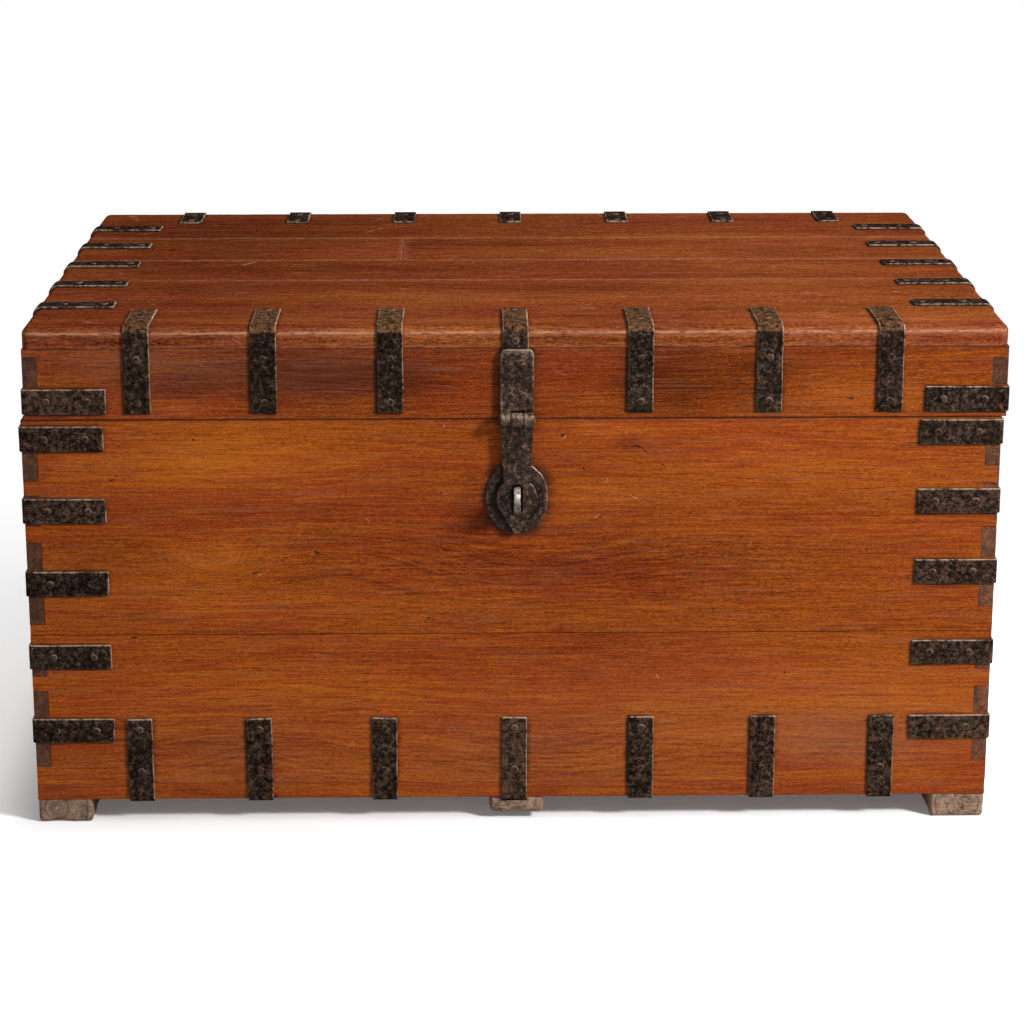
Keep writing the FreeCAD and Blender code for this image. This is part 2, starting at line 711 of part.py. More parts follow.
def build_hinge(name, x):
    """Strap hinge on the back: two leaves, a pin and a heel that stops the lid."""
    origin = Vector(x, back_face, level_seam + lid_rest_gap / 2)
    half = hinge_width / 2
    knuckle = hinge_width * hinge_knuckle_share / 2
    bore = hinge_pin_radius + running_clearance
    gap = hinge_barrel_radius + turning_gap
    out = hinge_axis_out
    whole = ring(hinge_barrel_radius, bore, Vector(out, -half, 0), hinge_width)
    middle = box(0, out + gap, -knuckle, knuckle, -gap, gap)
    wide_middle = box(0, out + gap, -knuckle - hinge_side_gap, knuckle + hinge_side_gap, -gap, gap)
    lid_plate = box(0, hinge_leaf_thickness, -half, half, gap, hinge_lid_leaf_rise)
    lid_root = box(0, hinge_leaf_thickness, -knuckle, knuckle, 0, gap)
    heel = box(
        out - hinge_heel_stand, out - hinge_heel_stand + hinge_heel_thickness, -knuckle, knuckle,
        -hinge_heel_reach, -hinge_barrel_radius / 2)
    heel.rotate(Vector(out, 0, 0), BACK, -lid_open_degrees)
    heel = heel.cut(Part.makeCylinder(bore, 2 * knuckle, Vector(out, -knuckle, 0), BACK))
    lid_leaf = lid_plate.fuse([lid_root, whole.common(middle), heel]).removeSplitter()
    case_plate = box(0, hinge_leaf_thickness, -half, half, -hinge_case_leaf_drop, -lid_rest_gap)
    case_leaf = case_plate.fuse(whole).cut(wide_middle)
    case_leaf = case_leaf.cut(Part.makeCylinder(bore, hinge_width, Vector(out, -half, 0), BACK)).removeSplitter()
    pin = headed_pin(hinge_pin_radius, hinge_pin_head_radius, hinge_pin_head_length, half, out, 0)
    add(name + "_hinge_lid_leaf", place(lid_leaf, origin, BACK, LEFT))
    add(name + "_hinge_case_leaf", place(case_leaf, origin, BACK, LEFT))
    add(name + "_hinge_pin", place(pin, origin, BACK, LEFT))
    rows = (
        ("hinge_lid_nails", hinge_lid_leaf_rise, hinge_lid_nail_shares),
        ("hinge_case_nails", -hinge_case_leaf_drop, hinge_case_nail_shares))
    for node, length, shares in rows:
        for share in shares:
            for side in (-1, 1):
                spot = origin + Vector(side * hinge_nail_spacing / 2, hinge_leaf_thickness, length * share)
                drive_nail(node, spot, BACK, LEFT)


def bail_path(half_span):
    """Centre line of a bail: in through an eye, down, across and out again."""
    bend = bail_bend_radius
    leg = half_span - handle_eye_width / 2 - turning_gap - bend
    end = half_span + handle_eye_width / 2 + turning_gap
    diagonal = bend * math.sqrt(0.5)
    out = handle_eye_out
    low = -bail_drop
    parts = [Part.makeLine(Vector(out, end, 0), Vector(out, leg + bend, 0))]
    middle = Vector(out, leg + bend - diagonal, diagonal - bend)
    parts.append(Part.Arc(Vector(out, leg + bend, 0), middle, Vector(out, leg, -bend)).toShape())
    parts.append(Part.makeLine(Vector(out, leg, -bend), Vector(out, leg, low + bend)))
    middle = Vector(out, leg - bend + diagonal, low + bend - diagonal)
    parts.append(Part.Arc(Vector(out, leg, low + bend), middle, Vector(out, leg - bend, low)).toShape())
    parts.append(Part.makeLine(Vector(out, leg - bend, low), Vector(out, bend - leg, low)))
    middle = Vector(out, bend - leg - diagonal, low + bend - diagonal)
    parts.append(Part.Arc(Vector(out, bend - leg, low), middle, Vector(out, -leg, low + bend)).toShape())
    parts.append(Part.makeLine(Vector(out, -leg, low + bend), Vector(out, -leg, -bend)))
    middle = Vector(out, diagonal - leg - bend, diagonal - bend)
    parts.append(Part.Arc(Vector(out, -leg, -bend), middle, Vector(out, -leg - bend, 0)).toShape())
    parts.append(Part.makeLine(Vector(out, -leg - bend, 0), Vector(out, -end, 0)))
    return Part.Wire(parts), end


def build_handle(name, x, out):
    """Drop handle on one end: two eyes through the board and a bail between them."""
    origin = Vector(x, front_face + case_depth / 2, handle_height)
    side = UP.cross(out)
    half_span = handle_eye_spacing / 2
    for centre in (-half_span, half_span):
        flange = Part.makeCylinder(handle_flange_radius, handle_flange_thickness, Vector(0, centre, 0), RIGHT)
        low = centre - handle_eye_width / 2
        high = centre + handle_eye_width / 2
        lug = box(0, handle_eye_out, low, high, -handle_eye_radius, handle_eye_radius)
        nose = Part.makeCylinder(handle_eye_radius, handle_eye_width, Vector(handle_eye_out, low, 0), BACK)
        tail = peened_tail(handle_shank, handle_shank, 0, board_thickness)
        tail.translate(Vector(0, centre, 0))
        bore = Part.makeCylinder(
            bail_radius + running_clearance, handle_eye_width, Vector(handle_eye_out, low, 0), BACK)
        eye = flange.fuse([lug, nose, tail]).cut(bore).removeSplitter()
        add(name + "_handle_eyes", place(eye, origin, out, side))
        hole = tail_hole(handle_shank, handle_shank, 0, board_thickness)
        hole.translate(Vector(0, centre, 0))
        hole_cutters.append(place(hole, origin, out, side))
    path, end = bail_path(half_span)
    section = Part.Wire(Part.makeCircle(bail_radius, Vector(handle_eye_out, end, 0), BACK))
    bail = path.makePipeShell([section], True, False)
    for start in (end, -end - bail_head_length):
        head = Part.makeCylinder(bail_head_radius, bail_head_length, Vector(handle_eye_out, start, 0), BACK)
        bail = bail.fuse(head)
    add(name + "_handle_bail", place(bail.removeSplitter(), origin, out, side))


def write_parts():
    """Write one file per node, with the nail, dowel and tail holes cut."""
    os.makedirs("parts", exist_ok=True)
    plain = ("nails", "dowels", "pin", "bail", "eyes", "staple", "arm")
    for node, solids in pieces.items():
        if not node.endswith(plain):
            solids = [drilled(solid) for solid in solids]
        shape = solids[0] if len(solids) == 1 else Part.makeCompound(solids)
        shape.exportStep("parts/" + node + ".step")


build_case_wood()
build_lid_wood()
build_dowels()
build_lid_straps()
build_case_straps()
build_long_nails()
build_hasp()
build_staple()
build_hinge("left", -case_width * hinge_place_share)
build_hinge("right", case_width * hinge_place_share)
build_handle("left", -half_width, LEFT)
build_handle("right", half_width, RIGHT)
write_parts()
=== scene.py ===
"""Dressing of an iron-bound teak chest: boards, straps, nails, lock, hinges, handles and a plain studio.

Metres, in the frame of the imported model: +Z is up and the front faces -Y.
"""

import itertools
import logging
import math
from collections.abc import Callable, Iterable, Sequence
from dataclasses import dataclass, field
from enum import Enum
from functools import partial, reduce

import bmesh
import bpy
import numpy as np
from mathutils import Euler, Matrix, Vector, noise


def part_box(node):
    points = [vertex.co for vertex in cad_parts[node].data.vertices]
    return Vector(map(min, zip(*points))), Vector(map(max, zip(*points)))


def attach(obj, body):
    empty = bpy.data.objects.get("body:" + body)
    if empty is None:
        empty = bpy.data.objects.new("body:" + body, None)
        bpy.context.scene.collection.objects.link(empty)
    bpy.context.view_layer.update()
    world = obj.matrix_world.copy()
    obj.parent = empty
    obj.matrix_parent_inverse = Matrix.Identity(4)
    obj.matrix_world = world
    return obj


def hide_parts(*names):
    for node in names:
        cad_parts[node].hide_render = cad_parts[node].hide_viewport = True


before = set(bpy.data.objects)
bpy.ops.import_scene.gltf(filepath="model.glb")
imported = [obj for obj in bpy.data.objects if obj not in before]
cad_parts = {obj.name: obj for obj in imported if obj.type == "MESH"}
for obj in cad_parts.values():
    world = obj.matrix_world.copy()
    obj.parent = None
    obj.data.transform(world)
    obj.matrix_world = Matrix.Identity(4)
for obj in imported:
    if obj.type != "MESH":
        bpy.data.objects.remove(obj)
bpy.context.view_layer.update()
log = logging.getLogger("chest")

Colour = tuple[float, float, float]
Stops = tuple[tuple[float, Colour], ...]
MM = 0.001
FRONT_FACE = -383.3 * MM
LID_TOP = 652.3 * MM
MARK_DEPTH = 8 * MM
BEATING = 0.10 * MM
SHARP_ANGLE = math.radians(55)
# Colour of the painted shadow under and beside the hasp arm on the staple plate.
ARM_SHADOW_COLOUR: Colour = (0.004, 0.003, 0.002)
WORN_RIM = {"edge": 1.0 * MM, "joint_reach": 1.6 * MM}


class Axis(Enum):
    """An axis of the frame."""

    X = 0
    Y = 1
    Z = 2


class Slot(Enum):
    """Material slots of the record."""

    CASE = "teak_case"
    LID_TOP = "teak_lid_top"
    BEARER = "bearer_wood"
    STRAP = "strap_iron"
    NAIL = "nail_iron"
    FITTING = "fitting_iron"


class Body(Enum):
    """Bodies that pieces ride on."""

    CASE = "case"
    LID = "lid"
    HASP = "hasp"
    LEFT_HANDLE = "left_handle"
    RIGHT_HANDLE = "right_handle"


# ---- shapes ----


@dataclass
class Shape:
    """Points and faces of one or more closed surfaces, with a wear value from 0 to 1 at each point."""

    points: np.ndarray
    faces: list[tuple[int, ...]]
    wear: np.ndarray = field(default_factory=lambda: np.zeros(0))

    def __post_init__(self) -> None:
        """Give every point a wear value."""
        if len(self.wear) != len(self.points):
            self.wear = np.zeros(len(self.points))

    @staticmethod
    def joined(shapes: Iterable["Shape"]) -> "Shape":
        """Several shapes as one.

        Args:
            shapes: Shapes to put together, which may touch or overlap.

        Returns:
            One shape with the points and faces of all.
        """
        points, faces, wear, start = [], [], [], 0
        for shape in shapes:
            points.append(shape.points)
            wear.append(shape.wear)
            faces.extend(tuple(index + start for index in face) for face in shape.faces)
            start += len(shape.points)
        return Shape(np.concatenate(points), faces, np.concatenate(wear))

    def placed(self, origin: Sequence[float], out: Sequence[float], side: Sequence[float]) -> "Shape":
        """Copy of a shape drawn with x pointing out and y to the side.

        Args:
            origin: Where the shape's own origin goes.
            out: Direction of the shape's x axis.
            side: Direction of the shape's y axis.

        Returns:
            The shape in the frame.
        """
        axes = np.array([out, side, np.cross(out, side)], float)
        return Shape(np.asarray(origin) + self.points @ axes, self.faces, self.wear)

    def moved(self, out: float = 0.0, side: float = 0.0, up: float = 0.0) -> "Shape":
        """Copy of a shape moved along its own axes."""
        return Shape(self.points + (out, side, up), self.faces, self.wear)

    def crosswise(self, out: float = 0.0, start: float = 0.0) -> "Shape":
        """Copy of a shape drawn along x, laid along y instead, at a distance out and from a start."""
        return Shape(self.points[:, [1, 0, 2]] + (out, start, 0), self.faces, self.wear)

    def softened(self, radius: float, sharpest: float = 32.0) -> "Shape":
        """Copy with its sharp edges rounded.

        Args:
            radius: Width of the rounding on each face.
            sharpest: Angle in degrees between faces from which an edge is rounded.

        Returns:
            The rounded shape, with wear 1 on the roundings.
        """
        work = bmesh.new()
        made = [work.verts.new(point) for point in self.points]
        for face in self.faces:
            work.faces.new([made[index] for index in face])
        bmesh.ops.recalc_face_normals(work, faces=work.faces)
        limit = math.radians(sharpest)
        sharp = [edge for edge in work.edges if edge.calc_face_angle(0) > limit]
        old_faces = set(work.faces)
        bmesh.ops.bevel(
            work, geom=sharp, offset=radius, offset_type="OFFSET", segments=2, profile=0.5, affect="EDGES",
            clamp_overlap=True)
        work.verts.index_update()
        points = np.array([vertex.co for vertex in work.verts])
        wear = np.zeros(len(points))
        for face in work.faces:
            if face not in old_faces:
                wear[[vertex.index for vertex in face.verts]] = 1.0
        faces = [tuple(vertex.index for vertex in face.verts) for face in work.faces]
        work.free()
        return Shape(points, faces, wear)


def planes(low: float, high: float, step: float, marks: Iterable[float] = (), margin: float = 0.0) -> np.ndarray:
    """Grid planes of a piece along one axis.

    Args:
        low: First plane.
        high: Last plane.
        step: Greatest distance between planes.
        marks: Places that need a plane of their own.
        margin: Distance from the ends and the marks at which there is one more plane; 0 for none.

    Returns:
        The places of the planes, in order.
    """
    fixed = sorted({low, high, *marks})
    if margin:
        near = [place + side * margin for place in fixed for side in (-1, 1)]
        kept = [n for n in near if low < n < high and min(abs(n - f) for f in fixed) > margin / 2]
        fixed = sorted({*fixed, *kept})
    spans = [
        np.linspace(start, end, max(1, math.ceil((end - start) / step)), endpoint=False)
        for start, end in zip(fixed, fixed[1:])]
    return np.append(np.concatenate(spans), high)


def cell_middles(grid: Sequence[np.ndarray]) -> list[np.ndarray]:
    """Middles of a grid's cells along each axis."""
    return [(places[1:] + places[:-1]) / 2 for places in grid]


def all_cells(grid: Sequence[np.ndarray]) -> np.ndarray:
    """Every cell of a grid, as solid."""
    return np.ones([len(places) - 1 for places in grid], bool)


def cell_surface(grid: Sequence[np.ndarray], filled: np.ndarray) -> Shape:
    """Closed surface round the filled cells of a grid.

    Args:
        grid: Planes along x, y and z.
        filled: Whether each cell between the planes is solid.

    Returns:
        The surface, in squares.
    """
    sizes = [len(places) for places in grid]
    padded = np.pad(filled, 1)
    squares = []
    for axis in range(3):
        turned_cells = np.moveaxis(padded, axis, 0).astype(np.int8)
        change = turned_cells[1:] - turned_cells[:-1]
        plane, first, second = np.nonzero(change)
        entering = change[plane, first, second] > 0
        others = [other for other in range(3) if other != axis]
        corners = []
        for one, two in ((0, 0), (1, 0), (1, 1), (0, 1)):
            index = [plane] * 3
            index[others[0]] = first - 1 + one
            index[others[1]] = second - 1 + two
            corners.append(np.ravel_multi_index(index, sizes))
        square = np.stack(corners, 1)
        flip = entering if axis != 1 else ~entering
        square[flip] = square[flip][:, ::-1]
        squares.append(square)
    squares = np.concatenate(squares)
    used, faces = np.unique(squares, return_inverse=True)
    points = np.stack(np.meshgrid(*grid, indexing="ij"), -1).reshape(-1, 3)[used]
    return Shape(points, [tuple(face) for face in faces.reshape(-1, 4).tolist()])


def tube(loops: Sequence[np.ndarray], wear: np.ndarray | None = None) -> Shape:
    """Closed skin through loops of points, with a face over each end.

    Args:
        loops: Loops with the same number of points each.
        wear: Wear at each point of each loop.

    Returns:
        The closed shape.
    """
    count = len(loops[0])
    faces = []
    for row in range(len(loops) - 1):
        for column in range(count):
            after = (column + 1) % count
            faces.append((
                row * count + column, row * count + after,
                (row + 1) * count + after, (row + 1) * count + column))
    faces.append(tuple(range(count))[::-1])
    last = (len(loops) - 1) * count
    faces.append(tuple(range(last, last + count)))
    points = np.concatenate(loops)
    return Shape(points, faces, np.zeros(len(points)) if wear is None else np.asarray(wear).reshape(-1))


def turned(profile: Sequence[tuple[float, float]], sides: int = 20, worn_radius: float = 0.0) -> Shape:
    """Round piece about the local x axis.

    Args:
        profile: Places along x with the radius there, from one end to the other.
        sides: Points round each loop.
        worn_radius: Radius from which the surface counts as worn; 0 for none.

    Returns:
        The closed shape.
    """
    angles = np.arange(sides) * 2 * math.pi / sides
    loops, wear = [], []
    for place, radius in profile:
        ring = np.stack([np.full(sides, place), radius * np.cos(angles), radius * np.sin(angles)], 1)
        loops.append(ring)
        wear.append(np.full(sides, float(worn_radius > 0 and radius >= worn_radius)))
    return tube(loops, np.array(wear))


def barrel(radius: float, length: float) -> Shape:
    """Knuckle along the local x axis from 0, with rounded ends.

    Args:
        radius: Radius of the barrel.
        length: Its length.

    Returns:
        The closed shape.
    """
    rounding, sides = 0.8 * MM, 28
    middle = [(length * share, radius) for share in (0.25, 0.5, 0.75)]
    half = rounding * 0.3
    shape = turned([
        (0.0, radius * 0.35), (0.0, radius - rounding), (half, radius - half), (rounding, radius), *middle,
        (length - rounding, radius), (length - half, radius - half), (length, radius - rounding),
        (length, radius * 0.35)], sides)
    # Pale wear on the middle of each knuckle, which also paints the knuckles' highlights.
    shape.wear[:] = np.repeat([0, 0, 0, 0.3, 0.7, 0.8, 0.7, 0.3, 0, 0, 0], sides)
    return shape


def headed_pin(half: float, radius: float, head: Sequence[tuple[float, float]], sides: int, worn: float) -> Shape:
    """Pin along the local x axis with the same head at both ends.

    Args:
        half: Half the length between the heads.
        radius: Radius of the pin.
        head: How far beyond the pin each ring of the head lies, with its radius, from the outer end in.
        sides: Points round it.
        worn: Radius from which it counts as worn.

    Returns:
        The closed shape.
    """
    profile = [(-half - beyond, wide) for beyond, wide in head] + [(-half, radius)]
    return turned(profile + [(-place, wide) for place, wide in profile[::-1]], sides, worn)


def star_plate(
        outline: Callable[[np.ndarray], np.ndarray], thickness: float,
        hole: Callable[[np.ndarray], np.ndarray] | None = None,
        relief: Callable[[np.ndarray, np.ndarray], np.ndarray] | None = None,
        rounding: float = 1.0 * MM, corners: Sequence[float] = (), steps: int = 128, rings: int = 9) -> Shape:
    """Flat forged plate in the local y, z plane, seen from +x, drawn as distances from its middle.

    Args:
        outline: Distance of the outer edge at each angle.
        thickness: Thickness; the back lies at x = 0.
        hole: Distance of the hole's edge at each angle; None for no hole.
        relief: Height added to the front at each y and z.
        rounding: Width of the rounding at the edges.
        corners: Angles that need a point of their own.
        steps: Points round it.
        rings: Rings of points between the edges.

    Returns:
        The closed shape, with wear at its edges.
    """
    angles = np.unique(np.concatenate([np.arange(steps) * 2 * math.pi / steps, np.mod(corners, 2 * math.pi)]))
    angles = angles[np.append(True, np.diff(angles) > 1e-4)]
    outer = outline(angles)
    inner = hole(angles) if hole else np.full(len(angles), 0.4 * MM)
    count = len(angles)
    middle = np.linspace(0, 1, rings)[:, None]
    open_width = outer - inner - 2 * rounding
    radii = np.vstack([
        inner, inner + rounding * 0.35, inner + rounding + np.maximum(open_width, 0) * middle,
        outer - rounding * 0.35, outer])
    drops = np.zeros(len(radii))
    drops[-1], drops[-2] = rounding * 0.9, rounding * 0.25
    wear = np.zeros(len(radii))
    wear[-1], wear[-2] = 1.0, 0.9
    if hole:
        drops[0], drops[1] = rounding * 0.9, rounding * 0.25
        wear[0], wear[1] = 0.8, 0.6
    y, z = radii * np.cos(angles), radii * np.sin(angles)
    raised = np.where(drops[:, None] == 0, relief(y, z) if relief else 0.0, 0.0)
    front = np.stack([thickness - drops[:, None] + raised + 0 * y, y, z], -1)
    back = front[[0, -1]] * (0, 1, 1)
    if not hole:
        return tube([*front, back[1]], np.repeat(np.append(wear, 1.0), count))
    loops = [back[0], *front, back[1]]
    rows = len(loops)
    faces = []
    for row, column in itertools.product(range(rows), range(count)):
        following, after = (row + 1) % rows, (column + 1) % count
        faces.append((
            row * count + column, row * count + after, following * count + after, following * count + column))
    return Shape(np.concatenate(loops), faces, np.repeat(np.concatenate([[0.5], wear, [1.0]]), count))


def union_reach(
        angles: np.ndarray, discs: Sequence[float], polygons: Sequence[Sequence[tuple[float, float]]]) -> np.ndarray:
    """Distance of the outline of several overlapping forms from their common middle.

    Args:
        angles: Angles to measure at.
        discs: Radii of discs about the middle.
        polygons: Corners of convex forms that hold the middle.

    Returns:
        The distance at each angle.
    """
    reach = np.full(len(angles), max(discs, default=0.0))
    cosines, sines = np.cos(angles), np.sin(angles)
    for polygon in polygons:
        inside = np.full(len(angles), np.inf)
        for (y0, z0), (y1, z1) in zip(polygon, [*polygon[1:], polygon[0]]):
            across = (z1 - z0, y0 - y1)
            offset = across[0] * y0 + across[1] * z0
            if offset < 0:
                across, offset = (-across[0], -across[1]), -offset
            slope = across[0] * cosines + across[1] * sines
            inside = np.where(slope > 1e-12, np.minimum(inside, offset / np.maximum(slope, 1e-12)), inside)
        reach = np.maximum(reach, inside)
    return reach


def corner_angles(corners: Iterable[tuple[float, float]]) -> list[float]:
    """Angles at which corners lie about the middle."""
    return [math.atan2(z, y) for y, z in corners]


def eye_shape(radius: float, back: float, bore: float, half: float, rounding: float, steps: int, rings: int) -> Shape:
    """Round eye with a straight root behind it, in the local x, z plane about its bore.

    Args:
        radius: Radius of the eye.
        back: Place behind the bore where the root ends.
        bore: Radius of the bore.
        half: Half the eye's thickness.
        rounding: Width of the rounding at its edges.
        steps: Points round it.
        rings: Rings of points between its edges.

    Returns:
        The two halves of the eye, as closed shapes back to back.
    """
    lug = ((0.0, radius), (back, radius), (back, -radius), (0.0, -radius), (0.1 * MM, 0.0))
    cheek = star_plate(
        partial(union_reach, discs=(radius,), polygons=(lug,)), half, partial(np.full_like, fill_value=bore),
        rounding=rounding, corners=corner_angles(lug[1:3]), steps=steps, rings=rings).crosswise()
    return Shape.joined([cheek, Shape(cheek.points * (1, -1, 1), cheek.faces, cheek.wear)])


def solid_block(low: Sequence[float], high: Sequence[float], step: float, rounding: float) -> Shape:
    """Block between two corners, on a grid, with rounded edges.

    Args:
        low: Lowest corner.
        high: Highest corner.
        step: Greatest size of a cell.
        rounding: Width of the rounding at its edges.

    Returns:
        The closed shape, with wear at its edges.
    """
    grid = [planes(low[axis], high[axis], step, margin=rounding * 1.6) for axis in range(3)]
    return cell_surface(grid, all_cells(grid)).softened(rounding)


def leaf_plate(
        thick: tuple[float, float], half: float, heights: tuple[float, float], notch: tuple[float, float],
        steps: tuple[float, float], at_middle: bool) -> Shape:
    """Leaf with room for another leaf's knuckles, drawn in the local y, z plane with the pin at level 0.

    Args:
        thick: Places of its back and its front.
        half: Half its width.
        heights: Its lowest and highest level.
        notch: Half width and level at which the leaf is cut away towards the pin.
        steps: Greatest width and height of a cell.
        at_middle: Whether the middle is cut away; otherwise both sides are.

    Returns:
        The closed shape, with sharp edges.
    """
    side, level = notch
    margin = 1.5 * MM
    grid = [
        np.array(thick), planes(-half, half, steps[0], (-side, side), margin),
        planes(*heights, steps[1], (level,), margin)]
    _, across, up = cell_middles(grid)
    filled = all_cells(grid)
    in_middle = np.abs(across) < side
    filled[np.ix_([True], in_middle if at_middle else ~in_middle, np.abs(up) < abs(level))] = False
    return cell_surface(grid, filled)


def peened_shank(wall: float, front: float, halves: tuple[float, float], rounding: float) -> list[Shape]:
    """Square shank through a wall, with a wider tail peened over inside.

    Args:
        wall: Thickness of the wall.
        front: How far the shank stands out of it.
        halves: Half the shank's width and height.
        rounding: Width of the rounding at the shank's edges.

    Returns:
        The shank and the peened tail.
    """
    (across, up), margin, thickness = halves, 3 * MM, 3 * MM
    shank = solid_block((-wall, -across, -up), (front, across, up), 6 * MM, rounding)
    across, up = across + margin, up + margin
    return [shank, solid_block((-wall - thickness, -across, -up), (-wall, across, up), 4 * MM, 1.1 * MM)]


def rounding_marks(radius: float, angles: Sequence[float]) -> list[float]:
    """Distances from an edge at which its rounding needs points, one for each angle in degrees."""
    return [radius * (1 - math.tan(math.radians(angle))) for angle in angles]


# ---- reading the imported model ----


def read_vectors(items: bpy.types.bpy_prop_collection, name: str) -> np.ndarray:
    """Vectors that the points or faces of a mesh hold.

    Args:
        items: The points or faces.
        name: Name that the vectors are held under.

    Returns:
        The vectors, one to a row.
    """
    values = np.empty(len(items) * 3, np.float32)
    items.foreach_get(name, values)
    return values.reshape(-1, 3).astype(float)


def node_points(node: str) -> np.ndarray:
    """Points of a node's mesh."""
    return read_vectors(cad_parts[node].data.vertices, "co")


def node_box(node: str) -> tuple[np.ndarray, np.ndarray]:
    """Lowest and highest corners of a node, as arrays."""
    low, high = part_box(node)
    return np.array(low), np.array(high)


def separate_solids(node: str) -> list[np.ndarray]:
    """Points of each separate solid in a node.

    Args:
        node: Name of the node.

    Returns:
        One array of points for each solid.
    """
    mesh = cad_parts[node].data
    points = node_points(node)
    _, merged = np.unique(np.round(points * 1e5).astype(np.int64), axis=0, return_inverse=True)
    merged = merged.reshape(-1)
    ends = np.empty(len(mesh.edges) * 2, np.int32)
    mesh.edges.foreach_get("vertices", ends)
    pairs = merged[ends.reshape(-1, 2)]
    labels = np.arange(merged.max() + 1)
    while True:
        fresh = labels.copy()
        lowest = np.minimum(labels[pairs[:, 0]], labels[pairs[:, 1]])
        np.minimum.at(fresh, pairs[:, 0], lowest)
        np.minimum.at(fresh, pairs[:, 1], lowest)
        fresh = fresh[fresh]
        if (fresh == labels).all():
            break
        labels = fresh
    of_point = labels[merged]
    return [points[of_point == label] for label in np.unique(of_point)]


def body_of(node: str) -> Body:
    """Body that a strap or nail node belongs to."""
    return Body.LID if "lid" in node or "hasp" in node else Body.CASE


# ---- noise and meshes ----


def ripple(points: np.ndarray, scale: float | Sequence[float], seed: float) -> np.ndarray:
    """Smooth noise at points.

    Args:
        points: Points to read it at.
        scale: Waves in a metre, one number or one for each axis.
        seed: Number that picks another part of the noise.

    Returns:
        A value from about -1 to 1 for each point.
    """
    stretched = (points * np.asarray(scale, float) + seed * 11.7).tolist()
    return np.fromiter((noise.noise(point) for point in stretched), float, len(stretched))


def surface_normals(mesh: bpy.types.Mesh) -> np.ndarray:
    """Directions in which a mesh's points face."""
    return read_vectors(mesh.vertex_normals, "vector")


def write_floats(mesh: bpy.types.Mesh, **named: np.ndarray) -> None:
    """Store values, or vectors, at each point of a mesh.

    Args:
        mesh: The mesh.
        **named: The values, under the names that the finishes read.
    """
    for name, values in named.items():
        kind, key = ("FLOAT", "value") if values.ndim == 1 else ("FLOAT_VECTOR", "vector")
        layer = mesh.attributes.new(name, kind, "POINT")
        layer.data.foreach_set(key, values.astype(np.float32).reshape(-1))


def move_points(mesh: bpy.types.Mesh, points: np.ndarray) -> None:
    """Put the points of a mesh in new places."""
    mesh.vertices.foreach_set("co", points.astype(np.float32).reshape(-1))
    mesh.update()


def make_mesh(name: str, shape: Shape) -> bpy.types.Mesh:
    """Mesh of a shape, with its faces turned outward and shaded smooth.

    Args:
        name: Name of the mesh.
        shape: Its shape.

    Returns:
        The mesh.
    """
    mesh = bpy.data.meshes.new(name)
    mesh.from_pydata(shape.points.tolist(), [], shape.faces)
    work = bmesh.new()
    work.from_mesh(mesh)
    bmesh.ops.recalc_face_normals(work, faces=work.faces)
    work.to_mesh(mesh)
    work.free()
    mesh.polygons.foreach_set("use_smooth", [True] * len(mesh.polygons))
    mesh.update()
    return mesh


def set_piece(
        mesh: bpy.types.Mesh, body: Body, node: str, finishes: Sequence[bpy.types.Material]) -> None:
    """Put a finished mesh in the scene in place of the node that it stands for.

    Args:
        mesh: The mesh, which gives the piece its name.
        body: Body that it rides on.
        node: Node that it stands for.
        finishes: Materials of the mesh, in the order of its faces' material numbers.
    """
    piece = bpy.data.objects.new(mesh.name, mesh)
    bpy.context.scene.collection.objects.link(piece)
    for finish in finishes:
        mesh.materials.append(finish)
    mesh.set_sharp_from_angle(angle=SHARP_ANGLE)
    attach(piece, body.value)
    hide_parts(node)
    log.info("%s: %d points, rides on %s, stands for %s", mesh.name, len(mesh.vertices), body.value, node)


# ---- finishes ----


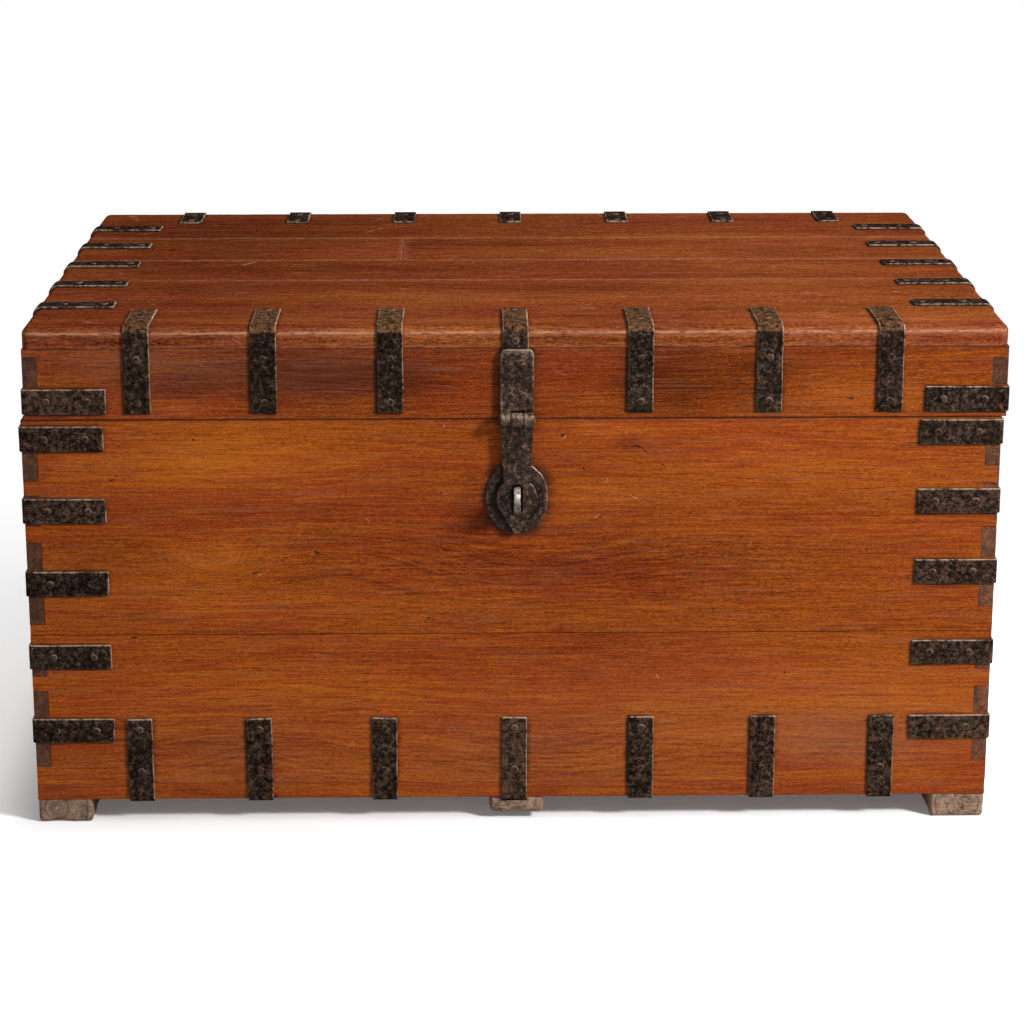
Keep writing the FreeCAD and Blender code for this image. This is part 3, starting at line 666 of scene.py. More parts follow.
class Recipe:
    """Nodes of one material or world."""

    def __init__(self, name: str, kind: str = "materials") -> None:
        """Start an empty material or world.

        Args:
            name: Its name.
            kind: Blender's list that it belongs to.
        """
        self.made = getattr(bpy.data, kind).new(name)
        self.made.use_nodes = True
        self.tree = self.made.node_tree
        self.tree.nodes.clear()

    def add(self, kind: str, inputs: dict[str | int, object] | None = None, **settings: object) -> bpy.types.Node:
        """Add a node.

        Args:
            kind: Type of node.
            inputs: Values or sockets for its inputs.
            **settings: Other settings of the node.

        Returns:
            The node.
        """
        node = self.tree.nodes.new(kind)
        for key, value in settings.items():
            setattr(node, key, value)
        for key, value in (inputs or {}).items():
            if isinstance(value, bpy.types.NodeSocket):
                self.tree.links.new(value, node.inputs[key])
            else:
                node.inputs[key].default_value = value
        return node

    def math(self, operation: str, one: object, two: object = 0.0) -> bpy.types.NodeSocket:
        """Result of a sum on two values or sockets."""
        return self.add("ShaderNodeMath", {0: one, 1: two}, operation=operation).outputs[0]

    def times(self, *values: object) -> bpy.types.NodeSocket:
        """Product of several values."""
        return reduce(partial(self.math, "MULTIPLY"), values)

    def most(self, *values: object) -> bpy.types.NodeSocket:
        """Greatest of several values."""
        return reduce(partial(self.math, "MAXIMUM"), values)

    def plus(self, value: object, part: object, weight: float) -> bpy.types.NodeSocket:
        """Value with a weighted part added."""
        return self.add("ShaderNodeMath", {0: part, 1: weight, 2: value}, operation="MULTIPLY_ADD").outputs[0]

    def total(self, *parts: tuple[object, float]) -> bpy.types.NodeSocket:
        """Sum of several values, each with its weight about 0.5."""
        return reduce(
            lambda result, part: self.plus(result, self.math("SUBTRACT", part[0], 0.5), part[1]), parts, 0.5)

    def near_half(self, value: object, outer: float, inner: float) -> bpy.types.NodeSocket:
        """1 where a noise runs through its middle value, which draws thin lines."""
        return self.between(self.math("ABSOLUTE", self.math("SUBTRACT", value, 0.5)), outer, inner)

    def stored(self, name: str, vector: bool = False) -> bpy.types.NodeSocket:
        """Value or vector that the mesh stores under a name."""
        return self.add("ShaderNodeAttribute", attribute_name=name).outputs["Vector" if vector else "Fac"]

    def vector(self, operation: str, *values: object, output: str | int = 0) -> bpy.types.NodeSocket:
        """Result of a sum on vectors."""
        return self.add("ShaderNodeVectorMath", dict(enumerate(values)), operation=operation).outputs[output]

    def stretch(self, vector: bpy.types.NodeSocket, scale: Sequence[float]) -> bpy.types.NodeSocket:
        """Vector multiplied by a scale on each axis."""
        return self.vector("MULTIPLY", vector, tuple(scale))

    def swayed(self, vector: bpy.types.NodeSocket, sway: object, reach: Colour) -> bpy.types.NodeSocket:
        """Vector moved about by the colour of a noise."""
        return self.vector("MULTIPLY_ADD", self.vector("SUBTRACT", sway, (0.5, 0.5, 0.5)), reach, vector)

    def from_heart(self, grain: bpy.types.NodeSocket) -> bpy.types.NodeSocket:
        """Distance of places in the log from its heart."""
        return self.vector("LENGTH", self.stretch(grain, (0.0, 1.0, 1.0)), output="Value")

    def noise(
            self, vector: bpy.types.NodeSocket, scale: float | Sequence[float], detail: float = 2.0,
            roughness: float = 0.5, distortion: float = 0.0, output: int = 0) -> bpy.types.NodeSocket:
        """Noise read at a vector.

        Args:
            vector: Place in metres.
            scale: Waves in a metre, one number or one for each axis.
            detail: Finer layers of noise.
            roughness: Strength of the finer layers.
            distortion: Swirl of the noise.
            output: 0 for the value, 1 for the colour.

        Returns:
            The noise.
        """
        if not isinstance(scale, (int, float)):
            vector, scale = self.stretch(vector, scale), 1.0
        inputs = {"Vector": vector, "Scale": scale, "Detail": detail, "Roughness": roughness, "Distortion": distortion}
        return self.add("ShaderNodeTexNoise", inputs).outputs[output]

    def layers(self, turns: object, scale: float, detail: float, roughness: float = 0.5) -> bpy.types.NodeSocket:
        """Noise along one line, for growth rings."""
        inputs = {"W": turns, "Scale": scale, "Detail": detail, "Roughness": roughness}
        return self.add("ShaderNodeTexNoise", inputs, noise_dimensions="1D").outputs[0]

    def between(
            self, value: object, low: float, high: float, to_low: float = 0.0,
            to_high: float = 1.0) -> bpy.types.NodeSocket:
        """Value eased from a range to another one, and held at its ends."""
        inputs = {"Value": value, "From Min": low, "From Max": high, "To Min": to_low, "To Max": to_high}
        return self.add("ShaderNodeMapRange", inputs, interpolation_type="SMOOTHSTEP").outputs[0]

    def ramp(self, value: object, stops: Stops) -> bpy.types.NodeSocket:
        """Colour between stops.

        Args:
            value: Place on the ramp.
            stops: Places with their colours.

        Returns:
            The colour.
        """
        node = self.add("ShaderNodeValToRGB", {0: value})
        elements = node.color_ramp.elements
        while len(elements) < len(stops):
            elements.new(1.0)
        for element, (place, colour) in zip(elements, stops):
            element.position = place
            element.color = (*colour, 1.0)
        return node.outputs[0]

    def mix(self, share: object, one: object, two: object, blend: str = "MIX") -> bpy.types.NodeSocket:
        """Two colours mixed.

        Args:
            share: Share of the second colour.
            one: First colour.
            two: Second colour.
            blend: How they mix.

        Returns:
            The mixed colour.
        """
        colours = [value if isinstance(value, bpy.types.NodeSocket) else (*value, 1.0) for value in (one, two)]
        inputs = {0: share, 6: colours[0], 7: colours[1]}
        return self.add("ShaderNodeMix", inputs, data_type="RGBA", blend_type=blend).outputs[2]

    def tinted(self, share: object, colour: object, one: Colour, two: Colour) -> bpy.types.NodeSocket:
        """Colour multiplied by one tint, by another or by what lies between them."""
        return self.mix(share, self.mix(1.0, colour, one, "MULTIPLY"), self.mix(1.0, colour, two, "MULTIPLY"))

    def bump(self, height: object, distance: float, strength: float = 1.0) -> bpy.types.NodeSocket:
        """Normal bent by a height in units of a distance."""
        return self.add("ShaderNodeBump", {"Height": height, "Distance": distance, "Strength": strength}).outputs[0]

    def finish(self, **inputs: object) -> bpy.types.Material:
        """Close the material with a surface shader.

        Args:
            **inputs: Inputs of the shader, with underscores for spaces.

        Returns:
            The material.
        """
        named = {key.replace("_", " "): value for key, value in inputs.items()}
        shader = self.add("ShaderNodeBsdfPrincipled", named)
        self.add("ShaderNodeOutputMaterial", {0: shader.outputs[0]})
        return self.made

    def looked_at(self) -> bpy.types.NodeSocket:
        """1 for rays from the camera, also by way of a mirror or through glass."""
        rays = self.add("ShaderNodeLightPath").outputs
        return self.most(rays["Is Camera Ray"], rays["Is Glossy Ray"], rays["Is Transmission Ray"])


@dataclass(frozen=True)
class Mark:
    """A dent, crack or scratch at a place of its own on the front, in millimetres."""

    across: float
    up: float
    long: float
    thin: float
    slant: float = 0.0

    def mask(self, recipe: Recipe, spot: bpy.types.NodeSocket) -> bpy.types.NodeSocket:
        """1 on the mark and 0 away from it.

        Args:
            recipe: Material that it goes in.
            spot: Places in the frame.

        Returns:
            The mask.
        """
        placed = recipe.add("ShaderNodeMapping", {
            "Vector": spot, "Location": (self.across * MM, FRONT_FACE, self.up * MM),
            "Rotation": (0.0, -math.radians(self.slant), 0.0),
            "Scale": (self.long * MM, MARK_DEPTH, self.thin * MM)}, vector_type="TEXTURE").outputs[0]
        return recipe.between(recipe.vector("LENGTH", placed, output="Value"), 1.0, 0.55)


@dataclass(frozen=True)
class Teak:
    """Teak with growth rings, fibre streaks, pores, scratches, and dirt near the iron and in the joints."""

    name: str
    stops: Stops
    ring_width: float = 4.2 * MM
    amber: Colour = (1.00, 0.96, 0.76)
    red: Colour = (0.87, 0.65, 0.84)
    thread: Colour = (0.225, 0.092, 0.055)
    threading: float = 0.42
    dirt: Colour = (0.030, 0.014, 0.008)
    scratch: Colour = (0.42, 0.24, 0.14)
    rubbed: Colour = (0.30, 0.115, 0.050)
    dust: Colour = (0.150, 0.082, 0.052)
    contrast: float = 1.0
    fineness: float = 1.0
    scratching: float = 0.12
    marking: float = 0.6
    soiling: float = 0.25
    denting: float = 0.45
    roughness: float = 0.5
    gloss: float = 0.04
    relief: float = 0.6
    dark_marks: tuple[Mark, ...] = ()
    pale_marks: tuple[Mark, ...] = ()

    def placed_marks(self, recipe: Recipe, marks: Sequence[Mark]) -> object:
        """1 on any of several marks, with uneven outlines, and 0 elsewhere.

        Args:
            recipe: Material that they go in.
            marks: The marks.

        Returns:
            The mask, or 0.0 without marks.
        """
        if not marks:
            return 0.0
        spot = recipe.add("ShaderNodeTexCoord").outputs["Object"]
        spot = recipe.swayed(spot, recipe.noise(spot, 420.0, 2, 0.6, output=1), (0.005, 0.005, 0.005))
        return recipe.most(0.0, *[mark.mask(recipe, spot) for mark in marks])

    def scratches(self, recipe: Recipe, grain: bpy.types.NodeSocket, angle: float) -> bpy.types.NodeSocket:
        """Thin straight scratches at one slant to the fibres.

        Args:
            recipe: Material that they go in.
            grain: Places in the log.
            angle: Slant in degrees.

        Returns:
            1 on the scratches and 0 elsewhere.
        """
        leant = recipe.add(
            "ShaderNodeVectorRotate", {"Vector": grain, "Angle": math.radians(angle)},
            rotation_type="Z_AXIS").outputs[0]
        lines = recipe.near_half(recipe.noise(leant, (1.6, 52.0, 52.0), 1, 0.4), 0.006, 0.002)
        return recipe.times(lines, recipe.between(recipe.noise(leant, (26.0, 60.0, 60.0), 1), 0.62, 0.68))

    def dents(self, recipe: Recipe, grain: bpy.types.NodeSocket) -> bpy.types.NodeSocket:
        """Small dark dents here and there.

        Args:
            recipe: Material that they go in.
            grain: Places in the log.

        Returns:
            1 in the dents and 0 elsewhere.
        """
        uneven = recipe.noise(grain, 160.0, 2, 0.6, output=1)
        moved = recipe.vector("MULTIPLY_ADD", uneven, (0.012, 0.007, 0.0), grain)
        cells = recipe.add("ShaderNodeTexVoronoi", {"Vector": recipe.stretch(moved, (9.0, 21.0, 0.0)), "Scale": 1.0})
        chosen = recipe.add("ShaderNodeSeparateXYZ", {0: cells.outputs["Color"]})
        size = recipe.between(chosen.outputs[0], 0.55, 1.0, 0.0, 0.075)
        return recipe.between(recipe.math("SUBTRACT", size, cells.outputs["Distance"]), 0.0, 0.02)

    def material(self) -> bpy.types.Material:
        """Build the finish.

        Returns:
            The material.
        """
        recipe = Recipe(self.name)
        grain = recipe.stored("grain", vector=True)
        bent = recipe.swayed(grain, recipe.noise(grain, (0.9, 4.0, 4.0), 2, 0.5, output=1), (0.0, 0.035, 0.035))

        def along(length: float, width: float, *settings: float) -> bpy.types.NodeSocket:
            """Noise drawn out along the bent fibres, in waves in a metre."""
            return recipe.noise(bent, (length, width, width), *settings)

        def about(length: float, width: float, *settings: float) -> bpy.types.NodeSocket:
            """Noise drawn out along the log, in waves in a metre."""
            return recipe.noise(grain, (length, width, width), *settings)

        radius = recipe.math("ADD", recipe.from_heart(bent), recipe.stored("swell"))
        turns = recipe.math("DIVIDE", recipe.plus(radius, about(9.0, 50.0, 4, 0.65), 0.010), self.ring_width)
        rings, wide = recipe.layers(turns, 1.0, 3.0, 0.7), recipe.layers(turns, 0.11, 1.0)
        fine, contrast = self.fineness, self.contrast
        streaks = along(5.0, 200.0 * fine, 5, 0.72)
        fibre = along(22.0, 620.0 * fine, 3, 0.75)
        silk = along(220.0, 620.0 * fine, 1, 0.6)
        cloud = about(2.2, 9.0, 3, 0.5)
        tone = recipe.total(
            (rings, 0.24 * contrast), (wide, 0.24 * contrast), (streaks, 0.34 * contrast),
            (fibre, 1.16 * contrast), (silk, 0.95 * contrast), (cloud, 0.42 * contrast))
        drawn_rings = recipe.times(recipe.math("SUBTRACT", rings, 0.5), recipe.stored("figure"))
        tone = recipe.math("ADD", recipe.math("ADD", tone, drawn_rings), recipe.stored("shade"))
        hue = recipe.total((about(2.4, 13.0, 3), 1.1), (along(9.0, 260.0, 2), 1.1))
        colour = recipe.tinted(recipe.between(hue, 0.41, 0.61), recipe.ramp(tone, self.stops), self.amber, self.red)
        threads = recipe.between(along(8.0, 430.0 * fine, 3, 0.65), 0.52, 0.70)
        colour = recipe.mix(recipe.times(threads, self.threading), colour, self.thread)
        dashes = recipe.between(along(24.0, 520.0 * fine, 2, 0.6), 0.62, 0.72)
        colour = recipe.mix(recipe.times(dashes, 0.28), colour, self.dirt)
        lines = recipe.near_half(along(1.8, 66.0, 2, 0.5), 0.010, 0.003)
        where = recipe.between(about(7.0, 19.0, 2), 0.50, 0.66)
        colour = recipe.mix(recipe.times(lines, where, 0.45), colour, self.dirt)
        pores = recipe.between(along(60.0, 1000.0, 1), 0.60, 0.70)
        colour = recipe.mix(recipe.times(pores, 0.35), colour, self.dirt)
        lying = recipe.between(recipe.total((cloud, 0.8), (fibre, 0.8)), 0.30, 0.70)
        colour = recipe.mix(recipe.times(recipe.stored("dust"), lying), colour, self.dust)
        # Rubbed wear, which on the lid top also draws a painted highlight line along its rounded edge.
        patchy = recipe.between(about(70.0, 330.0, 3, 0.7), 0.34, 0.56, 0.15, 1.0)
        colour = recipe.mix(recipe.times(recipe.stored("rub"), patchy), colour, self.rubbed)
        nicks = recipe.between(about(70.0, 260.0, 2, 0.6), 0.60, 0.66)
        colour = recipe.mix(recipe.times(recipe.stored("rub"), nicks, 0.4), colour, self.dirt)
        scratches = recipe.most(self.scratches(recipe, grain, 24.0), self.scratches(recipe, grain, -57.0))
        placed = recipe.times(self.placed_marks(recipe, self.pale_marks), self.marking)
        colour = recipe.mix(recipe.most(recipe.times(scratches, self.scratching), placed), colour, self.scratch)
        dents = recipe.times(self.dents(recipe, grain), self.denting)
        dents = recipe.most(dents, self.placed_marks(recipe, self.dark_marks))
        smear = about(14.0, 130.0, 4, 0.65)
        near_iron = recipe.between(recipe.total((recipe.stored("grime"), 1.0), (smear, 1.3)), 0.42, 1.10)
        smudge = recipe.between(about(7.0, 17.0, 4, 0.6), 0.60, 0.78)
        in_joint = recipe.between(recipe.total((recipe.stored("joint"), 1.0), (smear, 0.6)), 0.45, 0.95)
        soil = recipe.most(near_iron, recipe.times(smudge, self.soiling), dents, in_joint)
        colour = recipe.mix(recipe.times(soil, 0.88), colour, self.dirt)
        height = recipe.total((streaks, 0.5), (fibre, 1.1), (dents, -2.5))
        rough = recipe.between(
            recipe.total((streaks, 0.6), (cloud, 0.6), (soil, 0.3)), 0.2, 0.8, self.roughness - 0.09,
            self.roughness + 0.12)
        return recipe.finish(
            Base_Color=colour, Roughness=rough, Specular_IOR_Level=self.gloss,
            Normal=recipe.bump(height, 0.4 * MM, self.relief))


@dataclass(frozen=True)
class EndGrain:
    """Sawn end of a board or a bearer: rings in arcs, open pores and radial checks."""

    name: str
    stops: Stops
    ring_width: float = 3.5 * MM
    ringing: float = 1.5
    checking: float = 0.5
    check: Colour = (0.012, 0.008, 0.006)
    relief: float = 0.8

    def material(self) -> bpy.types.Material:
        """Build the finish.

        Returns:
            The material.
        """
        recipe = Recipe(self.name)
        grain = recipe.stored("grain", vector=True)
        radius = recipe.plus(recipe.from_heart(grain), recipe.noise(grain, 30.0, 3, 0.6), 0.008)
        rings = recipe.layers(recipe.math("DIVIDE", radius, self.ring_width), 1.0, 2.0, 0.6)
        mottle = recipe.noise(grain, 85.0, 4, 0.65)
        pores = recipe.between(recipe.noise(grain, 950.0, 1), 0.56, 0.68)
        speckle = recipe.noise(grain, (260.0, 420.0, 420.0), 3, 0.7)
        tone = recipe.total((rings, self.ringing), (mottle, 1.3), (speckle, 1.3), (pores, -0.3))
        colour = recipe.ramp(recipe.math("ADD", tone, recipe.stored("shade")), self.stops)
        cracks = recipe.near_half(recipe.noise(grain, (4.0, 38.0, 150.0), 3, 0.6, 0.4), 0.02, 0.006)
        cracks = recipe.times(cracks, recipe.between(recipe.noise(grain, 24.0, 2), 0.46, 0.6), self.checking)
        height = recipe.total((rings, 0.4), (mottle, 0.6), (pores, -0.5), (cracks, -1.6))
        return recipe.finish(
            Base_Color=recipe.mix(cracks, colour, self.check), Roughness=0.75, Specular_IOR_Level=0.15,
            Normal=recipe.bump(height, 0.5 * MM, self.relief))


@dataclass(frozen=True)
class Iron:
    """Old black iron: scale and pits, brown rust, and pale rubbed edges that gather dust on their upper sides, with a
    painted highlight on edges facing up and to the right.
    """

    name: str
    stops: Stops
    rust: Colour = (0.066, 0.034, 0.020)
    dust: Colour = (0.135, 0.082, 0.055)
    ochre: Colour = (0.270, 0.125, 0.048)
    wear_and_highlight_colour: Colour = (0.36, 0.26, 0.185)
    cool: Colour = (0.80, 0.96, 1.12)
    warm: Colour = (1.24, 0.98, 0.82)
    right_edge_highlight: float = 0.22
    all_round: float = 0.15
    mottling: float = 1.3
    graining: float = 1.5
    rusting: float = 0.5
    shine: float = 0.0
    roughness: float = 0.45
    gloss: float = 0.05

    def material(self) -> bpy.types.Material:
        """Build the finish.

        Returns:
            The material.
        """
        recipe = Recipe(self.name)
        place = recipe.add("ShaderNodeTexCoord")
        spot = place.outputs["Object"]
        wide = recipe.noise(spot, 24.0, 3, 0.6)
        grainy = recipe.noise(spot, 150.0, 4, 0.72)
        fine = recipe.noise(spot, 520.0, 3, 0.7)
        tinge = recipe.between(recipe.noise(spot, 240.0, 3, 0.7), 0.36, 0.64)
        specks = recipe.between(recipe.noise(spot, 330.0, 2, 0.6), 0.60, 0.72)
        colour = recipe.ramp(recipe.total((wide, 0.7), (grainy, self.mottling), (fine, self.graining)), self.stops)
        flakes = recipe.total(
            (recipe.noise(spot, 110.0, 4, 0.76, 0.6), 1.3), (grainy, 0.8), (recipe.stored("rust"), 0.32))
        rusty = recipe.times(recipe.between(flakes, 0.44, 0.84), self.rusting)
        dusty = recipe.mix(recipe.between(recipe.stored("rust"), 0.86, 1.0), self.dust, self.ochre)
        colour = recipe.mix(rusty, colour, recipe.mix(recipe.between(fine, 0.30, 0.70), self.rust, dusty))
        colour = recipe.mix(recipe.times(specks, 0.2), colour, self.dust)
        colour = recipe.tinted(tinge, colour, self.cool, self.warm)
        # Pale edges: wear, weighted to edges facing up, where there is dust and a painted highlight, and to edges
        # facing right, where the key lamp falls, as a painted highlight.
        normal = recipe.add("ShaderNodeSeparateXYZ", {0: place.outputs["Normal"]})
        facing = recipe.total((normal.outputs[2], 0.5), (normal.outputs[0], self.right_edge_highlight))
        upward = recipe.between(facing, 0.05, 0.50, self.all_round, 1.0)
        chance = recipe.between(recipe.total((wide, 1.0), (grainy, 1.4)), 0.30, 0.66, 0.10, 1.0)
        colour = recipe.mix(recipe.times(recipe.stored("wear"), chance, upward), colour, self.wear_and_highlight_colour)
        # Painted shadow: blackens the staple plate under and beside the hasp arm.
        colour = recipe.mix(recipe.times(recipe.stored("soot"), 0.85), colour, ARM_SHADOW_COLOUR)
        pits = recipe.between(grainy, 0.28, 0.46)
        height = recipe.total((grainy, 0.9), (fine, 0.6), (pits, 0.9), (wide, 0.4))
        rough = recipe.between(
            recipe.total((grainy, 0.8), (rusty, 0.5)), 0.25, 0.85, self.roughness - 0.14, self.roughness + 0.22)
        return recipe.finish(
            Base_Color=colour, Metallic=self.shine, Roughness=rough, Specular_IOR_Level=self.gloss,
            Normal=recipe.bump(height, 0.5 * MM, 0.85))


FRONT_DENTS = tuple(
    Mark(*row) for row in (
        (62.5, 514, 3.4, 1.6, 30), (88.7, 471, 1.6, 3.0, 10), (187.5, 475, 3.0, 1.5, -20), (110, 407, 2.4, 1.4, 0),
        (222, 412, 2.6, 1.4, 15), (254, 285, 2.4, 2.0, 0), (-246, 362.5, 4.6, 2.6, -35), (-324, 335.6, 5.5, 1.5, 8),
        (51, 440, 6.5, 1.1, -8), (-396, 510, 2.2, 2.0, 0), (-106, 275, 2.0, 1.8, 0), (-479, 251, 6.0, 1.6, 0),
        (-499, 458, 5.0, 1.8, 0), (347, 199, 2.4, 2.2, 0), (156, 499, 7.0, 1.6, -24), (165, 493, 5.0, 1.4, -35),
        (-90, 440, 2.0, 1.4, 0), (-12, 268, 6.0, 1.0, 0), (420, 560, 7.0, 1.2, 4), (-300, 570, 6.0, 1.2, -3)))
FRONT_SCRATCHES = tuple(
    Mark(*row) for row in (
        (65, 511.5, 5.0, 0.9, 45), (106, 409, 5.0, 0.9, 35), (152, 433.6, 9.0, 0.8, -25), (-85, 526, 1.4, 2.6, 0),
        (185, 194.7, 4.0, 1.6, -50), (-318, 333, 4.0, 1.2, 20), (-252, 360, 2.2, 1.6, 0), (118, 455, 7.0, 0.7, 62),
        (300, 372, 8.0, 0.7, 70), (-182, 405, 6.0, 0.7, -58)))
CASE_TEAK = Teak("oiled_teak_case", (
    (0.0, (0.092, 0.017, 0.0025)), (0.28, (0.178, 0.036, 0.005)), (0.5, (0.266, 0.060, 0.008)),
    (0.72, (0.345, 0.086, 0.0105)), (1.0, (0.46, 0.130, 0.015))),
    contrast=1.05, dark_marks=FRONT_DENTS, pale_marks=FRONT_SCRATCHES)
LID_TEAK = Teak("rubbed_teak_lid_top", (
    (0.0, (0.060, 0.012, 0.0035)), (0.28, (0.130, 0.029, 0.008)), (0.5, (0.200, 0.048, 0.012)),
    (0.72, (0.275, 0.075, 0.020)), (1.0, (0.39, 0.135, 0.045))),
    dust=(0.30, 0.165, 0.105), contrast=1.45, fineness=0.85, scratching=0.45, soiling=0.35,
    roughness=0.46, gloss=0.0, rubbed=(0.58, 0.28, 0.155))
INSIDE_TEAK = Teak("bare_teak_inside", (
    (0.0, (0.11, 0.045, 0.018)), (0.28, (0.19, 0.085, 0.035)), (0.5, (0.25, 0.118, 0.050)),
    (0.72, (0.31, 0.155, 0.070)), (1.0, (0.40, 0.22, 0.11))),
    amber=(1.0, 1.0, 1.0), red=(1.0, 0.92, 0.88), thread=(0.30, 0.18, 0.10), scratching=0.15,
    soiling=0.35, roughness=0.7, gloss=0.06)
TEAK_ENDS = EndGrain("teak_end_grain", (
    (0.0, (0.014, 0.006, 0.004)), (0.3, (0.040, 0.016, 0.009)), (0.55, (0.078, 0.029, 0.015)),
    (0.8, (0.125, 0.045, 0.021)), (1.0, (0.20, 0.075, 0.034))), ringing=0.5)
LID_ENDS = EndGrain("lid_end_grain", (
    (0.0, (0.035, 0.014, 0.008)), (0.3, (0.075, 0.027, 0.012)), (0.55, (0.115, 0.040, 0.017)),
    (0.8, (0.16, 0.058, 0.025)), (1.0, (0.24, 0.100, 0.045))))
BEARER_SIDES = Teak("weathered_bearer", (
    (0.0, (0.045, 0.028, 0.020)), (0.28, (0.105, 0.065, 0.045)), (0.5, (0.17, 0.105, 0.072)),
    (0.72, (0.23, 0.145, 0.100)), (1.0, (0.34, 0.22, 0.155))),
    amber=(1.0, 1.0, 1.0), red=(1.0, 0.93, 0.88), thread=(0.30, 0.21, 0.155), scratching=0.1,
    soiling=0.5, roughness=0.8, gloss=0.05, relief=0.9, rubbed=(0.36, 0.25, 0.18))
BEARER_ENDS = EndGrain("bearer_end_grain", (
    (0.0, (0.040, 0.025, 0.018)), (0.3, (0.115, 0.070, 0.048)), (0.55, (0.19, 0.120, 0.084)),
    (0.8, (0.26, 0.164, 0.112)), (1.0, (0.37, 0.240, 0.165))), checking=0.9, relief=1.0)
STRAP_IRON = Iron("black_strap_iron", (
    (0.0, (0.002, 0.0015, 0.0012)), (0.4, (0.012, 0.008, 0.006)), (0.65, (0.032, 0.021, 0.015)),
    (1.0, (0.125, 0.082, 0.058))), mottling=2.0, graining=1.2, rusting=0.8, gloss=0.0)
NAIL_IRON = Iron("nail_iron", (
    (0.0, (0.006, 0.004, 0.003)), (0.45, (0.028, 0.017, 0.012)), (1.0, (0.115, 0.070, 0.049))),
    mottling=1.6, graining=1.9, rusting=0.7, wear_and_highlight_colour=(0.20, 0.130, 0.090), right_edge_highlight=0.05, all_round=0.5, gloss=0.0)
FITTING_IRON = Iron("forged_fitting_iron", (
    (0.0, (0.004, 0.003, 0.002)), (0.4, (0.024, 0.015, 0.011)), (0.65, (0.058, 0.036, 0.026)),
    (1.0, (0.21, 0.138, 0.098))), mottling=2.0, graining=1.6, right_edge_highlight=0.30,
    rusting=0.5, roughness=0.38, shine=0.3, gloss=0.06)
# Staple: rubbed iron with paler stops and near-white edges, which also paint the highlight on the staple's nose.
HIGHLIGHTED_STAPLE_IRON = Iron("rubbed_staple_iron", (
    (0.0, (0.008, 0.006, 0.005)), (0.4, (0.030, 0.023, 0.019)), (0.65, (0.075, 0.060, 0.050)),
    (1.0, (0.24, 0.20, 0.17))), wear_and_highlight_colour=(0.62, 0.55, 0.49), mottling=1.9, graining=1.8,
    rusting=0.3, roughness=0.3, shine=0.4, gloss=0.2)


@dataclass
class Finishes:
    """Every material of the chest, made once."""

    case: bpy.types.Material = field(default_factory=CASE_TEAK.material)
    lid_top: bpy.types.Material = field(default_factory=LID_TEAK.material)
    inside: bpy.types.Material = field(default_factory=INSIDE_TEAK.material)
    ends: bpy.types.Material = field(default_factory=TEAK_ENDS.material)
    lid_ends: bpy.types.Material = field(default_factory=LID_ENDS.material)
    bearer: bpy.types.Material = field(default_factory=BEARER_SIDES.material)
    bearer_ends: bpy.types.Material = field(default_factory=BEARER_ENDS.material)
    strap: bpy.types.Material = field(default_factory=STRAP_IRON.material)
    nail: bpy.types.Material = field(default_factory=NAIL_IRON.material)
    fitting: bpy.types.Material = field(default_factory=FITTING_IRON.material)
    staple: bpy.types.Material = field(default_factory=HIGHLIGHTED_STAPLE_IRON.material)


# ---- wood ----


@dataclass(frozen=True)
class Patch:
    """A soft patch on a board, where its colour or the run of its grain changes."""

    along: float
    across: float
    long: float
    tall: float
    shade: float = 0.0
    swell: float = 0.0
    figure: float = 0.0
    dust: float = 0.0

    def strength(self, along: np.ndarray, across: np.ndarray) -> np.ndarray:
        """How much of the patch is at each point, from 0 to 1."""
        return np.exp(-((along - self.along) / self.long) ** 2 - ((across - self.across) / self.tall) ** 2)


